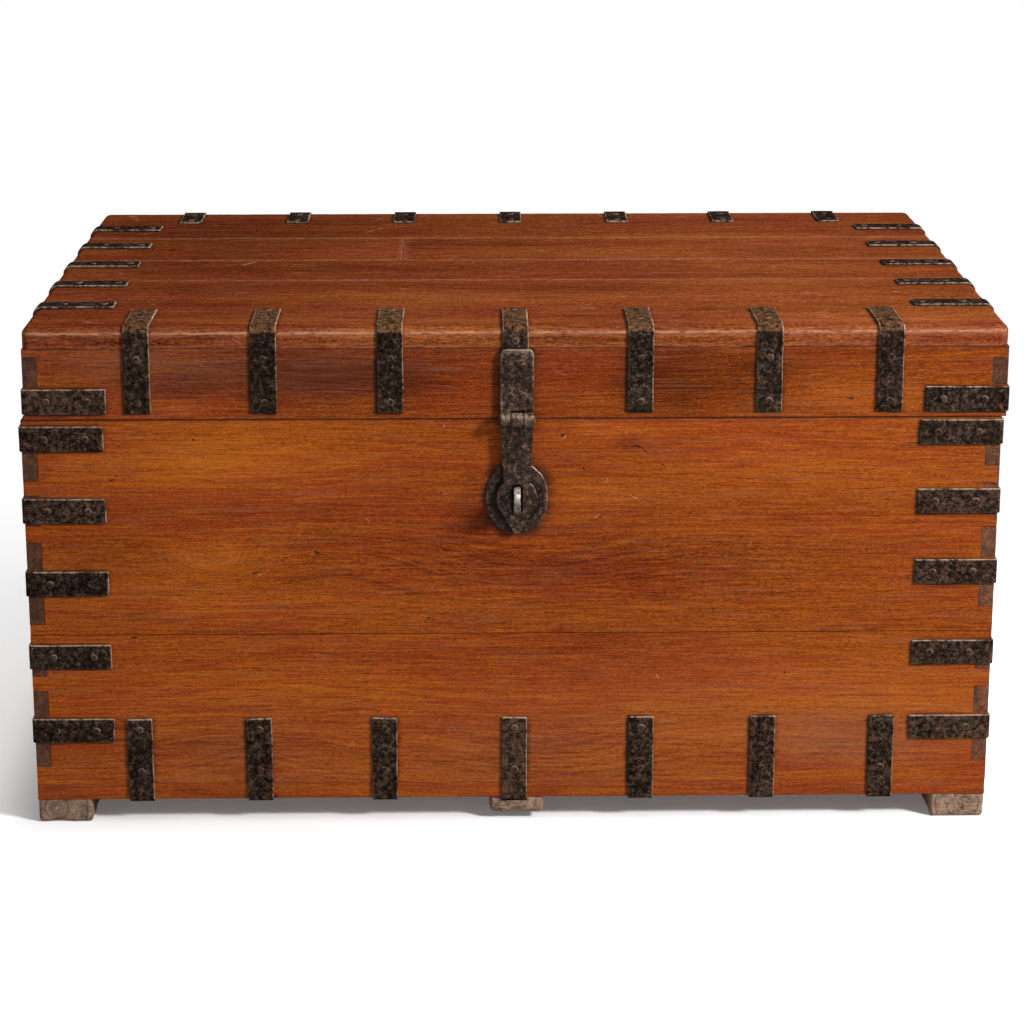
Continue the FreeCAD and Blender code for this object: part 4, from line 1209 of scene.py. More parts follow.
@dataclass
class Board:
    """How one board was cut from its log and how it has worn."""

    node: str
    fibre: Axis
    face: Axis
    seen: int
    heart: tuple[float, float] = (0.05, 0.09)
    shade: float = 0.0
    rub: float = 0.0
    batter: float = 0.3 * MM
    edge: float = 0.5 * MM
    joint: float = 0.9
    joint_reach: float = 1.0 * MM
    lower_joint: float = 1.0
    # Level of a painted highlight line drawn with the rub; None for none.
    highlight_level: float | None = None
    rub_reach: float = 3.5 * MM
    edge_rub: float = 1.0
    soiled_depth: float = 9.0 * MM
    wave: float = 0.18 * MM
    raised_grain: float = 0.07 * MM
    patches: tuple[Patch, ...] = ()

    @property
    def seed(self) -> int:
        """Number that makes the board differ from the others."""
        return sum(ord(letter) for letter in self.node) % 97

    @property
    def across(self) -> Axis:
        """Axis across the fibres in the board's face."""
        return next(axis for axis in Axis if axis not in (self.fibre, self.face))

    @property
    def outer(self) -> float:
        """Place of the board's outer face."""
        low, high = node_box(self.node)
        return (high if self.seen > 0 else low)[self.face.value]

    def grain(self, points: np.ndarray) -> np.ndarray:
        """Places in the log: along the fibres, across and into the board from the heart.

        Args:
            points: Points of the board.

        Returns:
            Their places in the log.
        """
        low, high = node_box(self.node)
        middle = (low + high) / 2
        along = points[:, self.fibre.value] + self.seed * 1.37
        across = points[:, self.across.value] - middle[self.across.value] - self.heart[0]
        deep = (points[:, self.face.value] - self.outer) * self.seen - self.heart[1]
        return np.stack([along, across, deep], 1)

    def depth(self, points: np.ndarray) -> np.ndarray:
        """Distance of points behind the board's outer face."""
        return np.abs(points[:, self.face.value] - self.outer)

    def edge_distance(self, points: np.ndarray) -> np.ndarray:
        """Distance of points on the board's skin from the nearest edge of the board.

        Args:
            points: Points of the board.

        Returns:
            The distances.
        """
        low, high = node_box(self.node)
        inset = np.minimum(points - low, high - points)
        return np.maximum(np.sort(inset, axis=1)[:, 1], 0)

    def weathered(self, points: np.ndarray, normals: np.ndarray) -> np.ndarray:
        """Points of the board after years of use: slight waves, raised grain and knocked edges.

        Args:
            points: Points of the board.
            normals: Directions in which they face.

        Returns:
            The moved points.
        """
        stretch = np.full(3, 45.0)
        stretch[self.fibre.value] = 6.0
        waves = self.wave * ripple(points, 4.0, self.seed)
        waves += self.raised_grain * ripple(points, stretch, self.seed + 1)
        knocks = np.maximum(ripple(points, 38.0, self.seed + 2) - 0.12, 0)
        knocks += 0.6 * np.maximum(ripple(points, 95.0, self.seed + 3) - 0.2, 0)
        near = np.exp(-self.edge_distance(points) / (4 * MM))
        amount = waves - self.wave - 2.2 * self.batter * knocks * near
        return points + normals * amount[:, None]

    def dress(
            self, shape: Shape, iron: "IronWork", body: Body, slot: Slot,
            finishes: Sequence[bpy.types.Material]) -> None:
        """Make the board's piece.

        Args:
            shape: Its shape with soft edges.
            iron: The straps and plates that leave dirt round them.
            body: Body that it rides on.
            slot: Record slot; not used.
            finishes: Materials of its outer face, inner face and ends.
        """
        mesh = make_mesh(self.node + "_plank", shape)
        rest = shape.points
        move_points(mesh, self.weathered(rest, surface_normals(mesh)))
        along, across = rest[:, self.fibre.value], rest[:, self.across.value]
        drawn = {look: np.zeros(len(rest)) for look in ("shade", "swell", "figure", "dust")}
        drawn["shade"] += self.shade
        for patch, look in itertools.product(self.patches, drawn):
            drawn[look] += getattr(patch, look) * patch.strength(along, across)
        low, high = node_box(self.node)
        share = np.where(rest[:, 2] < (low[2] + high[2]) / 2, self.lower_joint, 1.0) * self.joint
        inset = self.edge_distance(rest)
        rub_and_highlight_share = self.edge_rub * np.exp(-inset / self.rub_reach)
        # Painted highlight: a pale line at one level round the lid top's rounded edge, added to the rubbed wear.
        if self.highlight_level is not None:
            rub_and_highlight_share = np.maximum(rub_and_highlight_share, np.exp(-np.abs(rest[:, 2] - self.highlight_level) / self.rub_reach))
        write_floats(
            mesh, grain=self.grain(rest), **drawn, rub=self.rub * rub_and_highlight_share,
            joint=share * np.exp(-inset / self.joint_reach),
            grime=iron.nearness(rest) * (self.depth(rest) < self.soiled_depth))
        facing = read_vectors(mesh.polygons, "normal")
        numbers = np.zeros(len(facing), np.int32)
        numbers[facing[:, self.face.value] * self.seen < -0.7] = 1
        numbers[np.abs(facing[:, self.fibre.value]) > 0.7] = 2
        set_piece(mesh, body, self.node, finishes)
        mesh.polygons.foreach_set("material_index", numbers)


@dataclass
class Course:
    """Four boards joined round by through dovetails, with the tails on the end boards."""

    front: Board
    back: Board
    left: Board
    right: Board
    taper_share: float = 0.14
    joint_depth: float = 19.1 * MM
    joint_gap: float = 0.25 * MM
    step: tuple[float, float] = (12 * MM, 8.5 * MM)
    margin: float = 1.8 * MM

    def tails(self, board: Board) -> list[tuple[float, float]]:
        """Levels of an end board's tails.

        Args:
            board: The end board.

        Returns:
            Lowest and highest level of each tail.
        """
        low, _ = node_box(board.node)
        points = node_points(board.node)
        levels = np.unique(np.round(points[points[:, 1] < low[1] + 1e-5][:, 2], 5))
        return list(zip(levels[::2], levels[1::2]))

    def shape(self, board: Board) -> Shape:
        """One board: an end board with its tails, or a long board with the sockets for them.

        Args:
            board: The board.

        Returns:
            Its shape with soft edges.
        """
        low, high = node_box(board.node)
        run, tailed = board.fibre.value, board.fibre is Axis.Y
        tail_boards = (board, board) if tailed else (self.left, self.right)
        gap = 0.0 if tailed else self.joint_gap
        spans = [
            (end, bottom - gap, top + gap)
            for end, tail_board in enumerate(tail_boards) for bottom, top in self.tails(tail_board)]
        levels = [level for _, *pair in spans for level in pair]
        inner = (low[run] + self.joint_depth, high[run] - self.joint_depth)
        grid = [np.array([low[axis], high[axis]]) for axis in range(3)]
        grid[run] = planes(low[run], high[run], self.step[0], inner, self.margin)
        grid[2] = planes(low[2], high[2], self.step[1], levels, self.margin)
        middles, filled = cell_middles(grid), all_cells(grid)
        for end, strip in enumerate((middles[run] < inner[0], middles[run] > inner[1])):
            rows = np.zeros(len(middles[2]), bool)
            for at_end, bottom, top in spans:
                rows |= (at_end == end) & (middles[2] > bottom) & (middles[2] < top)
            columns = ([True], strip) if tailed else (strip, [True])
            filled[np.ix_(*columns, ~rows if tailed else rows)] = False
        shape = cell_surface(grid, filled)
        points = shape.points
        for end, bottom, top in spans:
            from_tip = high[run] - points[:, run] if end else points[:, run] - low[run]
            deep = (from_tip if tailed else board.depth(points)) / self.joint_depth
            shift = (top - bottom) * self.taper_share / 2 * deep * (from_tip < self.joint_depth + 1e-6)
            points[:, 2] += shift * (np.abs(points[:, 2] - bottom) < 1e-7)
            points[:, 2] -= shift * (np.abs(points[:, 2] - top) < 1e-7)
        return shape.softened(board.edge)

    def build(self, iron: "IronWork", body: Body, finishes: Finishes) -> None:
        """Make the four boards.

        Args:
            iron: The straps and plates that leave dirt round them.
            body: Body that they ride on.
            finishes: Materials of the chest.
        """
        materials = (finishes.case, finishes.inside, finishes.ends)
        for board in (self.front, self.back, self.left, self.right):
            board.dress(self.shape(board), iron, body, Slot.CASE, materials)


def case_board(name: str, **settings: object) -> Board:
    """Board of a course, named like its node.

    Args:
        name: Name of the node, which says where the board goes.
        **settings: Other fields of the board.

    Returns:
        The board.
    """
    if "left" in name or "right" in name:
        return Board(name, Axis.Y, Axis.X, 1 if "right" in name else -1, **settings)
    return Board(name, Axis.X, Axis.Y, 1 if "back" in name else -1, **settings)


@dataclass
class CaseWood:
    """Walls, bottom and bearers."""

    upper_patches: tuple[Patch, ...] = (
        Patch(-0.37, 0.480, 0.20, 0.055, shade=0.36), Patch(-0.34, 0.395, 0.20, 0.018, shade=-0.08),
        Patch(-0.377, 0.352, 0.055, 0.026, shade=0.26, swell=0.040, figure=0.35),
        Patch(-0.22, 0.345, 0.13, 0.045, shade=-0.10, swell=-0.022, figure=0.75),
        Patch(-0.34, 0.285, 0.16, 0.026, shade=0.26), Patch(0.115, 0.389, 0.07, 0.018, shade=-0.14),
        Patch(0.06, 0.289, 0.05, 0.015, shade=-0.10), Patch(0.15, 0.322, 0.09, 0.02, shade=-0.08),
        Patch(-0.31, 0.372, 0.04, 0.02, shade=0.10),
        Patch(0.02, 0.345, 0.16, 0.045, shade=-0.10, swell=0.02, figure=0.7),
        Patch(0.13, 0.515, 0.12, 0.020, shade=0.18), Patch(0.10, 0.430, 0.07, 0.030, shade=0.14),
        Patch(0.28, 0.345, 0.28, 0.045, shade=-0.13, figure=0.3), Patch(0.36, 0.470, 0.22, 0.050, shade=0.10),
        # The second patch on the next line darkens the wood below and left of the staple plate: painted shadow of the
        # lock, with some dirt.
        Patch(0.147, 0.502, 0.020, 0.008, shade=-0.30), Patch(-0.05, 0.400, 0.030, 0.030, shade=-0.35))
    lower_patches: tuple[Patch, ...] = (
        Patch(0.10, 0.243, 0.08, 0.018, shade=-0.18), Patch(-0.29, 0.243, 0.06, 0.015, shade=0.12),
        Patch(-0.30, 0.190, 0.24, 0.035, shade=0.03, swell=0.026, figure=0.7),
        Patch(0.33, 0.150, 0.26, 0.060, shade=0.14, swell=0.012, figure=0.4, dust=0.15),
        Patch(-0.34, 0.100, 0.12, 0.040, shade=-0.05, swell=0.024, figure=0.8, dust=0.2),
        Patch(-0.38, 0.065, 0.16, 0.022, shade=0.16, dust=0.5),
        Patch(0.05, 0.090, 0.14, 0.045, swell=-0.024, figure=0.8, dust=0.4),
        Patch(0.40, 0.105, 0.16, 0.030, dust=0.4))
    bottom_step: tuple[float, float] = (16 * MM, 14 * MM)
    bottom_margin: float = 1.8 * MM
    bearer_step: tuple[float, float] = (7 * MM, 4 * MM)
    bearer_rounding: float = 5.0 * MM
    housing_depth: float = 4.8 * MM
    housing_slack: float = 0.3 * MM
    least_cell: float = 0.2 * MM

    def courses(self) -> tuple[Course, Course]:
        """Boards of the walls.

        Returns:
            The lower and the upper course.
        """
        lower = Course(
            case_board("front_board_lower", heart=(0.19, 0.16), shade=0.05, joint=0.55, patches=self.lower_patches),
            case_board("back_board_lower", heart=(-0.02, 0.07), shade=-0.03),
            case_board("left_side_board_lower", heart=(0.12, 0.10), shade=-0.08),
            case_board("right_side_board_lower", heart=(-0.13, 0.12), shade=0.12))
        upper = Course(
            case_board(
                "front_board_upper", heart=(-0.24, 0.17), edge=0.7 * MM, joint=1.25, joint_reach=2.4 * MM,
                lower_joint=0.42, patches=self.upper_patches),
            case_board("back_board_upper", heart=(0.06, 0.05), shade=-0.05, **WORN_RIM),
            case_board("left_side_board_upper", heart=(0.03, 0.08), shade=-0.10, **WORN_RIM),
            case_board("right_side_board_upper", heart=(-0.05, 0.07), shade=0.12, **WORN_RIM))
        return lower, upper

    def bottom_board(self, board: Board) -> Shape:
        """One board of the bottom.

        Args:
            board: The board.

        Returns:
            Its shape with soft edges.
        """
        low, high = node_box(board.node)
        grid = [planes(low[axis], high[axis], self.bottom_step[axis], margin=self.bottom_margin) for axis in range(2)]
        grid.append(np.array([low[2], high[2]]))
        return cell_surface(grid, all_cells(grid)).softened(board.edge)

    def bearer(self, board: Board, strap_boxes: Sequence[tuple[np.ndarray, np.ndarray]]) -> Shape:
        """One bearer, worn round below, with housings for the strap legs that it crosses.

        Args:
            board: The bearer.
            strap_boxes: Corners of each strap under the case.

        Returns:
            Its shape.
        """
        low, high = node_box(board.node)
        slack, radius = self.housing_slack, self.bearer_rounding
        crossings = [
            (start - slack, end + slack) for start, end in strap_boxes
            if (start[:2] < high[:2]).all() and (end[:2] > low[:2]).all()]
        round_marks = rounding_marks(radius, (0, 12, 24, 35))
        grid = []
        for axis in range(2):
            marks = [corner[axis] for crossing in crossings for corner in crossing]
            marks = [place for place in marks if low[axis] < place < high[axis]]
            marks += [low[axis] + mark for mark in round_marks] + [high[axis] - mark for mark in round_marks]
            marks.sort()
            spaced = marks[:1] + [place for last, place in zip(marks, marks[1:]) if place - last > self.least_cell]
            grid.append(planes(low[axis], high[axis], self.bearer_step[0], spaced))
        housing = high[2] - self.housing_depth
        grid.append(planes(low[2], high[2], self.bearer_step[1], [housing] + [low[2] + mark for mark in round_marks]))
        middles, filled = cell_middles(grid), all_cells(grid)
        for start, end in crossings:
            inside = [(middles[axis] > start[axis]) & (middles[axis] < end[axis]) for axis in range(2)]
            filled[np.ix_(*inside, middles[2] > housing)] = False
        shape = cell_surface(grid, filled)
        core = np.clip(shape.points, low + radius, high - radius)
        core[:, 2] = np.maximum(shape.points[:, 2], low[2] + radius)
        away = shape.points - core
        share = np.abs(away).max(1) / np.maximum(np.linalg.norm(away, axis=1), 1e-9)
        shape.points = core + away * share[:, None]
        return shape

    def build(self, iron: "IronWork", finishes: Finishes) -> None:
        """Make the walls, the bottom and the bearers.

        Args:
            iron: The straps and plates that leave dirt round them.
            finishes: Materials of the chest.
        """
        for course in self.courses():
            course.build(iron, Body.CASE, finishes)
        materials = (finishes.case, finishes.inside, finishes.ends)
        for place, across, shade in (("front", 0.04, 0.08), ("middle", -0.01, -0.08), ("rear", -0.06, -0.05)):
            board = Board("bottom_board_" + place, Axis.X, Axis.Z, -1, heart=(across, 0.08), shade=shade)
            board.dress(self.bottom_board(board), iron, Body.CASE, Slot.CASE, materials)
        under = [
            (solid.min(0), solid.max(0)) for side in ("front", "back", "left", "right")
            for solid in separate_solids(f"case_bottom_{side}_straps")]
        materials = (finishes.bearer, finishes.bearer, finishes.bearer_ends)
        for place, across, shade in (("left", -0.012, 0.0), ("middle", 0.0, 0.10), ("right", 0.012, 0.18)):
            board = Board(
                place + "_bearer", Axis.Y, Axis.Z, -1, heart=(across, -0.02), batter=2.8 * MM, rub=0.5, joint=0.0,
                shade=shade)
            board.dress(self.bearer(board, under), iron, Body.CASE, Slot.BEARER, materials)


@dataclass
class LidWood:
    """Rails and the top of edge-jointed boards with rounded edges."""

    edge_radius: float = 9.0 * MM
    corner_radius: float = 12.0 * MM
    # Drop below the top of the painted highlight line on the rounded edge.
    highlight_drop: float = 7.0 * MM
    step: tuple[float, float, float] = (8 * MM, 8.5 * MM, 6 * MM)
    seam: float = 1.8 * MM
    dowel_node: str = "lid_dowels"
    rail_patches: tuple[Patch, ...] = (
        Patch(0.45, 0.58, 0.16, 0.06, shade=0.08), Patch(0.40, 0.565, 0.06, 0.020, shade=0.20),
        Patch(0.20, 0.590, 0.09, 0.035, shade=-0.14), Patch(0.31, 0.600, 0.04, 0.015, shade=-0.26),
        Patch(-0.22, 0.588, 0.11, 0.022, shade=-0.42, dust=0.25), Patch(-0.42, 0.549, 0.08, 0.014, shade=0.34),
        Patch(-0.42, 0.580, 0.07, 0.020, shade=-0.34), Patch(-0.27, 0.592, 0.09, 0.04, shade=-0.16),
        Patch(0.19, 0.585, 0.05, 0.05, shade=-0.18), Patch(0.27, 0.583, 0.16, 0.030, shade=-0.18),
        Patch(0.10, 0.590, 0.03, 0.05, shade=0.12), Patch(-0.13, 0.585, 0.035, 0.04, shade=-0.16),
        Patch(-0.42, 0.590, 0.16, 0.040, shade=0.06, dust=0.25), Patch(-0.30, 0.612, 0.30, 0.012, dust=0.3))
    top_patches: tuple[Patch, ...] = (
        Patch(-0.42, 0.1, 0.24, 0.35, shade=-0.24), Patch(0.30, 0.1, 0.26, 0.35, shade=0.13),
        Patch(-0.34, -0.406, 0.26, 0.012, shade=0.55, dust=1.1),
        Patch(0.35, -0.406, 0.30, 0.012, shade=-0.9, dust=0.2),
        Patch(0.0, -0.32, 0.6, 0.07, shade=-0.07), Patch(-0.05, 0.10, 0.18, 0.035, shade=0.18),
        Patch(-0.12, -0.02, 0.22, 0.030, shade=-0.16), Patch(0.30, 0.20, 0.24, 0.07, shade=-0.08),
        Patch(-0.10, -0.165, 0.12, 0.03, shade=0.10), Patch(-0.40, -0.25, 0.20, 0.03, shade=-0.12),
        Patch(-0.15, -0.34, 0.40, 0.03, shade=0.10))

    def course(self) -> Course:
        """The four rails."""
        return Course(
            case_board(
                "lid_front_rail", heart=(0.10, 0.12), edge=0.7 * MM, joint=0.8, joint_reach=2.0 * MM, shade=-0.12,
                rub=0.1, batter=0.5 * MM, patches=self.rail_patches),
            case_board("lid_back_rail", heart=(-0.08, 0.09), shade=-0.10, **WORN_RIM),
            case_board("lid_left_rail", heart=(0.05, 0.11), shade=-0.12, **WORN_RIM),
            case_board("lid_right_rail", heart=(-0.06, 0.10), shade=-0.08, **WORN_RIM))

    def boards(self) -> tuple[Board, ...]:
        """Boards of the top.

        Returns:
            The boards, from the front.
        """
        looks = (
            ("front", (0.16, 0.11), 0.02, (
                Patch(-0.34, -0.31, 0.26, 0.05, shade=-0.04), Patch(0.42, -0.33, 0.18, 0.05, shade=0.10),
                Patch(0.02, -0.16, 0.30, 0.020, shade=-0.14), Patch(-0.20, -0.22, 0.10, 0.03, swell=0.02))),
            ("front_middle", (-0.02, 0.06), -0.02, (
                Patch(-0.10, -0.03, 0.30, 0.018, shade=-0.12), Patch(0.30, 0.0, 0.20, 0.03, swell=0.02))),
            ("rear_middle_left", (0.09, 0.10), 0.05, ()),
            ("rear_middle_right", (-0.07, 0.08), -0.04, ()),
            ("rear", (0.03, 0.09), -0.05, ()))
        return tuple(
            Board(
                "lid_top_board_" + name, Axis.X, Axis.Z, 1, heart=heart, shade=shade,
                patches=self.top_patches + patches, edge=0.55 * MM, rub=1.0, batter=1.3 * MM, joint=0.45,
                highlight_level=LID_TOP - self.highlight_drop, rub_reach=1.3 * MM, edge_rub=0.42)
            for name, heart, shade, patches in looks)

    def top_board(self, board: Board, low_all: np.ndarray, high_all: np.ndarray) -> Shape:
        """One board of the top, rounded where it reaches the rim of the whole top.

        Args:
            board: The board.
            low_all: Lowest corner of the whole top.
            high_all: Highest corner of the whole top.

        Returns:
            Its shape with soft seams.
        """
        low, high = node_box(board.node)
        rim = rounding_marks(self.edge_radius, (0, 9, 18, 27, 36))
        grid = []
        for axis in range(2):
            sides = ((low[axis], low_all[axis], 1), (high[axis], high_all[axis], -1))
            marks = [end + turn * mark for _, end, turn in sides for mark in (*rim, self.corner_radius)]
            marks = [mark for mark in marks if low[axis] + 0.5 * MM < mark < high[axis] - 0.5 * MM]
            marks += [place + turn * self.seam for place, end, turn in sides if abs(place - end) >= 1e-4]
            grid.append(planes(low[axis], high[axis], self.step[axis], marks))
        grid.append(planes(low[2], high[2], self.step[2], [high[2] - mark for mark in rim] + [low[2] + self.seam]))
        shape = cell_surface(grid, all_cells(grid))
        shape.points = self.rounded(shape.points, low_all, high_all)
        return shape.softened(board.edge, 34.0)

    def rounded(self, points: np.ndarray, low: np.ndarray, high: np.ndarray) -> np.ndarray:
        """Points of a square-edged slab moved to its rounded corners and edges.

        Args:
            points: Points of the slab.
            low: Its lowest corner.
            high: Its highest corner.

        Returns:
            The moved points.
        """
        radius = self.corner_radius
        core = np.clip(points[:, :2], low[:2] + radius, high[:2] - radius)
        away = points[:, :2] - core
        reach = np.abs(away).max(1)
        direction = away / np.maximum(np.linalg.norm(away, axis=1), 1e-9)[:, None]
        outward = np.maximum(reach - (radius - self.edge_radius), 0)
        upward = np.maximum(points[:, 2] - (high[2] - self.edge_radius), 0)
        both = (outward > 1e-7) & (upward > 1e-7)
        scale = np.where(both, np.maximum(outward, upward) / np.maximum(np.hypot(outward, upward), 1e-9), 1.0)
        new_reach = np.where(both, radius - self.edge_radius + outward * scale, reach)
        new_level = np.where(both, high[2] - self.edge_radius + upward * scale, points[:, 2])
        return np.column_stack([core + direction * new_reach[:, None], new_level])

    def build(self, iron: "IronWork", finishes: Finishes) -> None:
        """Make the rails and the top.

        Args:
            iron: The straps and plates that leave dirt round them.
            finishes: Materials of the chest.
        """
        self.course().build(iron, Body.LID, finishes)
        boards = self.boards()
        boxes = [node_box(board.node) for board in boards]
        low_all = np.min([low for low, _ in boxes], axis=0)
        high_all = np.max([high for _, high in boxes], axis=0)
        materials = (finishes.lid_top, finishes.inside, finishes.lid_ends)
        for board in boards:
            board.dress(self.top_board(board, low_all, high_all), iron, Body.LID, Slot.LID_TOP, materials)
        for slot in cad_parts[self.dowel_node].material_slots:
            slot.material = finishes.inside


# ---- straps and nails ----


@dataclass(frozen=True)
class StrapPlace:
    """Where one strap goes: the corner it is bent round, the run of its legs and its width's direction."""

    corner: np.ndarray
    one: np.ndarray
    two: np.ndarray
    reach: tuple[float, float]
    width: float

    @staticmethod
    def read(points: np.ndarray, thickness: float) -> "StrapPlace":
        """Find the place of a strap from the points of its solid.

        Args:
            points: Points of the solid.
            thickness: Thickness of the strap.

        Returns:
            Its place.
        """
        low, high = points.min(0), points.max(0)
        across = int(np.argmin(high - low))
        legs = [axis for axis in range(3) if axis != across]
        ends = (low, high)
        gaps = {
            sides: np.hypot(*[points[:, axis] - ends[side][axis] for axis, side in zip(legs, sides)]).min()
            for sides in itertools.product((0, 1), repeat=2)}
        empty = max(gaps, key=gaps.get)
        corner = (low + high) / 2
        directions, reach = [], []
        for axis, side in zip(legs, empty):
            sign = 1.0 if side else -1.0
            base = low[axis] + thickness if side else high[axis] - thickness
            corner[axis] = base
            directions.append(np.eye(3)[axis] * sign)
            reach.append(abs(ends[side][axis] - base))
        return StrapPlace(corner, directions[0], directions[1], (reach[0], reach[1]), (high - low)[across])

    def legs(self, thickness: float) -> list[tuple[np.ndarray, np.ndarray]]:
        """Lowest and highest corners of both legs.

        Args:
            thickness: Thickness of the strap.

        Returns:
            Two corners for each leg.
        """
        half = np.abs(np.cross(self.one, self.two)) * self.width / 2
        boxes = []
        for run, normal, reach in ((self.one, self.two, self.reach[0]), (self.two, self.one, self.reach[1])):
            start = self.corner - (normal + run) * thickness
            end = self.corner + run * reach
            boxes.append((np.minimum(start, end) - half, np.maximum(start, end) + half))
        return boxes


@dataclass
class Straps:
    """Flat iron straps bent round an edge: one piece for each node."""

    thickness: float = 2.7 * MM
    lid_bend: float = 8.5 * MM
    case_bend: float = 0.9 * MM
    top_depth: float = 6 * MM
    step: float = 5.0 * MM
    hammering: float = 0.16 * MM
    waver: float = 0.35 * MM
    rusty_places: tuple[tuple[float, float, float], ...] = (
        (0.0, 0.09, 0.86), (-0.57, 0.56, 0.80), (-0.57, 0.51, 0.5), (-0.57, 0.42, 0.6), (-0.57, 0.32, 0.2),
        (-0.57, 0.23, -0.9), (-0.57, 0.13, 0.3), (0.57, 0.33, 0.6), (0.57, 0.12, 0.75), (0.57, 0.52, 0.3),
        (0.57, 0.43, 0.6), (-0.32, 0.09, 0.5), (0.47, 0.09, 0.6), (0.16, 0.09, 0.4), (-0.31, 0.59, -0.3),
        (0.16, 0.59, -0.3), (0.31, 0.59, -0.1), (0.47, 0.59, -0.4), (-0.46, 0.59, 0.3))
    nodes: tuple[str, ...] = (
        "lid_front_straps", "lid_back_straps", "lid_left_straps", "lid_right_straps", "lid_corner_straps",
        "case_front_left_corner_straps", "case_front_right_corner_straps", "case_back_left_corner_straps",
        "case_back_right_corner_straps", "case_bottom_front_straps", "case_bottom_back_straps",
        "case_bottom_left_straps", "case_bottom_right_straps")

    def section(self, width: float) -> np.ndarray:
        """Outline across a strap.

        Args:
            width: Width of the strap.

        Returns:
            Place across, height above the wood and wear of each point, one point to a row.
        """
        half, top = width / 2, self.thickness
        right = [
            (half - 0.2 * MM, 0.0, 0.5), (half, 0.5 * MM, 0.9), (half, top - 0.9 * MM, 1.0),
            (half - 0.3 * MM, top - 0.3 * MM, 1.0), (half - 0.9 * MM, top, 0.9), (half - 1.9 * MM, top, 0.0)]
        middle = [(half * share, top, 0.0) for share in (0.66, 0.44, 0.22, 0.0, -0.22, -0.44, -0.66)]
        left = [(-place, height, wear) for place, height, wear in right[::-1]]
        return np.array(right + middle + left)

    def strap(self, place: StrapPlace, bend: float, seed: int) -> Shape:
        """One strap.

        Args:
            place: Where it goes.
            bend: Inner radius of its bend.
            seed: Number that makes it differ from the others.

        Returns:
            Its shape.
        """
        across = np.cross(place.one, place.two)
        widths, heights, worn = self.section(place.width).T
        spots = [
            (place.corner + place.one * distance, -place.two, distance, place.one)
            for distance in self.leg_distances(place.reach[0], bend)]
        for angle in np.radians((18, 36, 54, 72)):
            normal = -(place.two * math.cos(angle) + place.one * math.sin(angle))
            centre = place.corner + (place.one + place.two) * bend
            along = place.one * math.cos(angle) - place.two * math.sin(angle)
            spots.append((centre + normal * bend, normal, 0.0, along))
        spots += [
            (place.corner + place.two * distance, -place.one, distance, -place.two)
            for distance in self.leg_distances(place.reach[1], bend)[::-1]]
        count = len(spots)
        skews = [(seed * factor % 11 - 5) / 5 * 0.035 for factor in (37, 53)]
        ends = ((0.97, 0.55, 1.0), (0.99, 0.88, 0.9), (1.0, 1.0, 0.0))
        loops, wear = [], []
        for index, (point, normal, distance, along) in enumerate(spots):
            narrow, low, end_wear = ends[min(index, count - 1 - index, 2)]
            skew = skews[index >= count / 2]
            slide = along[None, :] * (widths * skew * min(1.0, distance / place.reach[0]))[:, None]
            base = point + across[None, :] * (widths * narrow)[:, None] + slide
            side_waver = ripple(base[[0, len(widths) // 2, -1]], 30.0, seed)
            shift = np.interp(widths, (-place.width / 2, place.width / 2), side_waver[[2, 0]]) * self.waver
            beaten = self.hammering * (ripple(base, 42.0, seed + 3) + 0.6 * ripple(base, 140.0, seed + 4))
            lift = heights * low + np.where(heights > 1.5 * MM, beaten - 0.5 * self.hammering, 0)
            loops.append(base + across[None, :] * shift[:, None] + normal[None, :] * lift[:, None])
            wear.append(np.maximum(worn, end_wear * (heights > 0)))
        return tube(loops, np.array(wear))

    def leg_distances(self, reach: float, bend: float) -> np.ndarray:
        """Places along a leg from its end to the bend.

        Args:
            reach: Length of the leg.
            bend: Inner radius of the bend.

        Returns:
            The places, as distances from the strap's corner.
        """
        near_end = [reach, reach - 0.6 * MM, reach - 1.8 * MM]
        steps = max(2, math.ceil((reach - 3 * MM - bend) / self.step))
        return np.concatenate([near_end, np.linspace(reach - 3 * MM, bend, steps)])

    def rustiness(self, middle: np.ndarray) -> float:
        """Rust of the strap whose middle is nearest to a known place."""
        return min(self.rusty_places, key=lambda place: math.hypot(middle[0] - place[0], middle[2] - place[1]))[2]

    def build(self, finishes: Finishes) -> None:
        """Make the straps of every node.

        Args:
            finishes: Materials of the chest.
        """
        for order, node in enumerate(self.nodes):
            over_lid = body_of(node) is Body.LID and "corner" not in node
            top_rust = 1.0 if "front" in node else 0.3
            shapes, rust = [], []
            for index, solid in enumerate(separate_solids(node)):
                place = StrapPlace.read(solid, self.thickness)
                shapes.append(self.strap(place, self.lid_bend if over_lid else self.case_bend, order * 17 + index))
                high = shapes[-1].points[:, 2] > solid[:, 2].max() - self.thickness - self.top_depth
                rust.append(np.where(high & over_lid, top_rust, self.rustiness(solid.mean(0))))
            whole = Shape.joined(shapes)
            mesh = make_mesh(node + "_forged", whole)
            write_floats(mesh, wear=whole.wear, rust=np.concatenate(rust))
            set_piece(mesh, body_of(node), node, [finishes.strap])


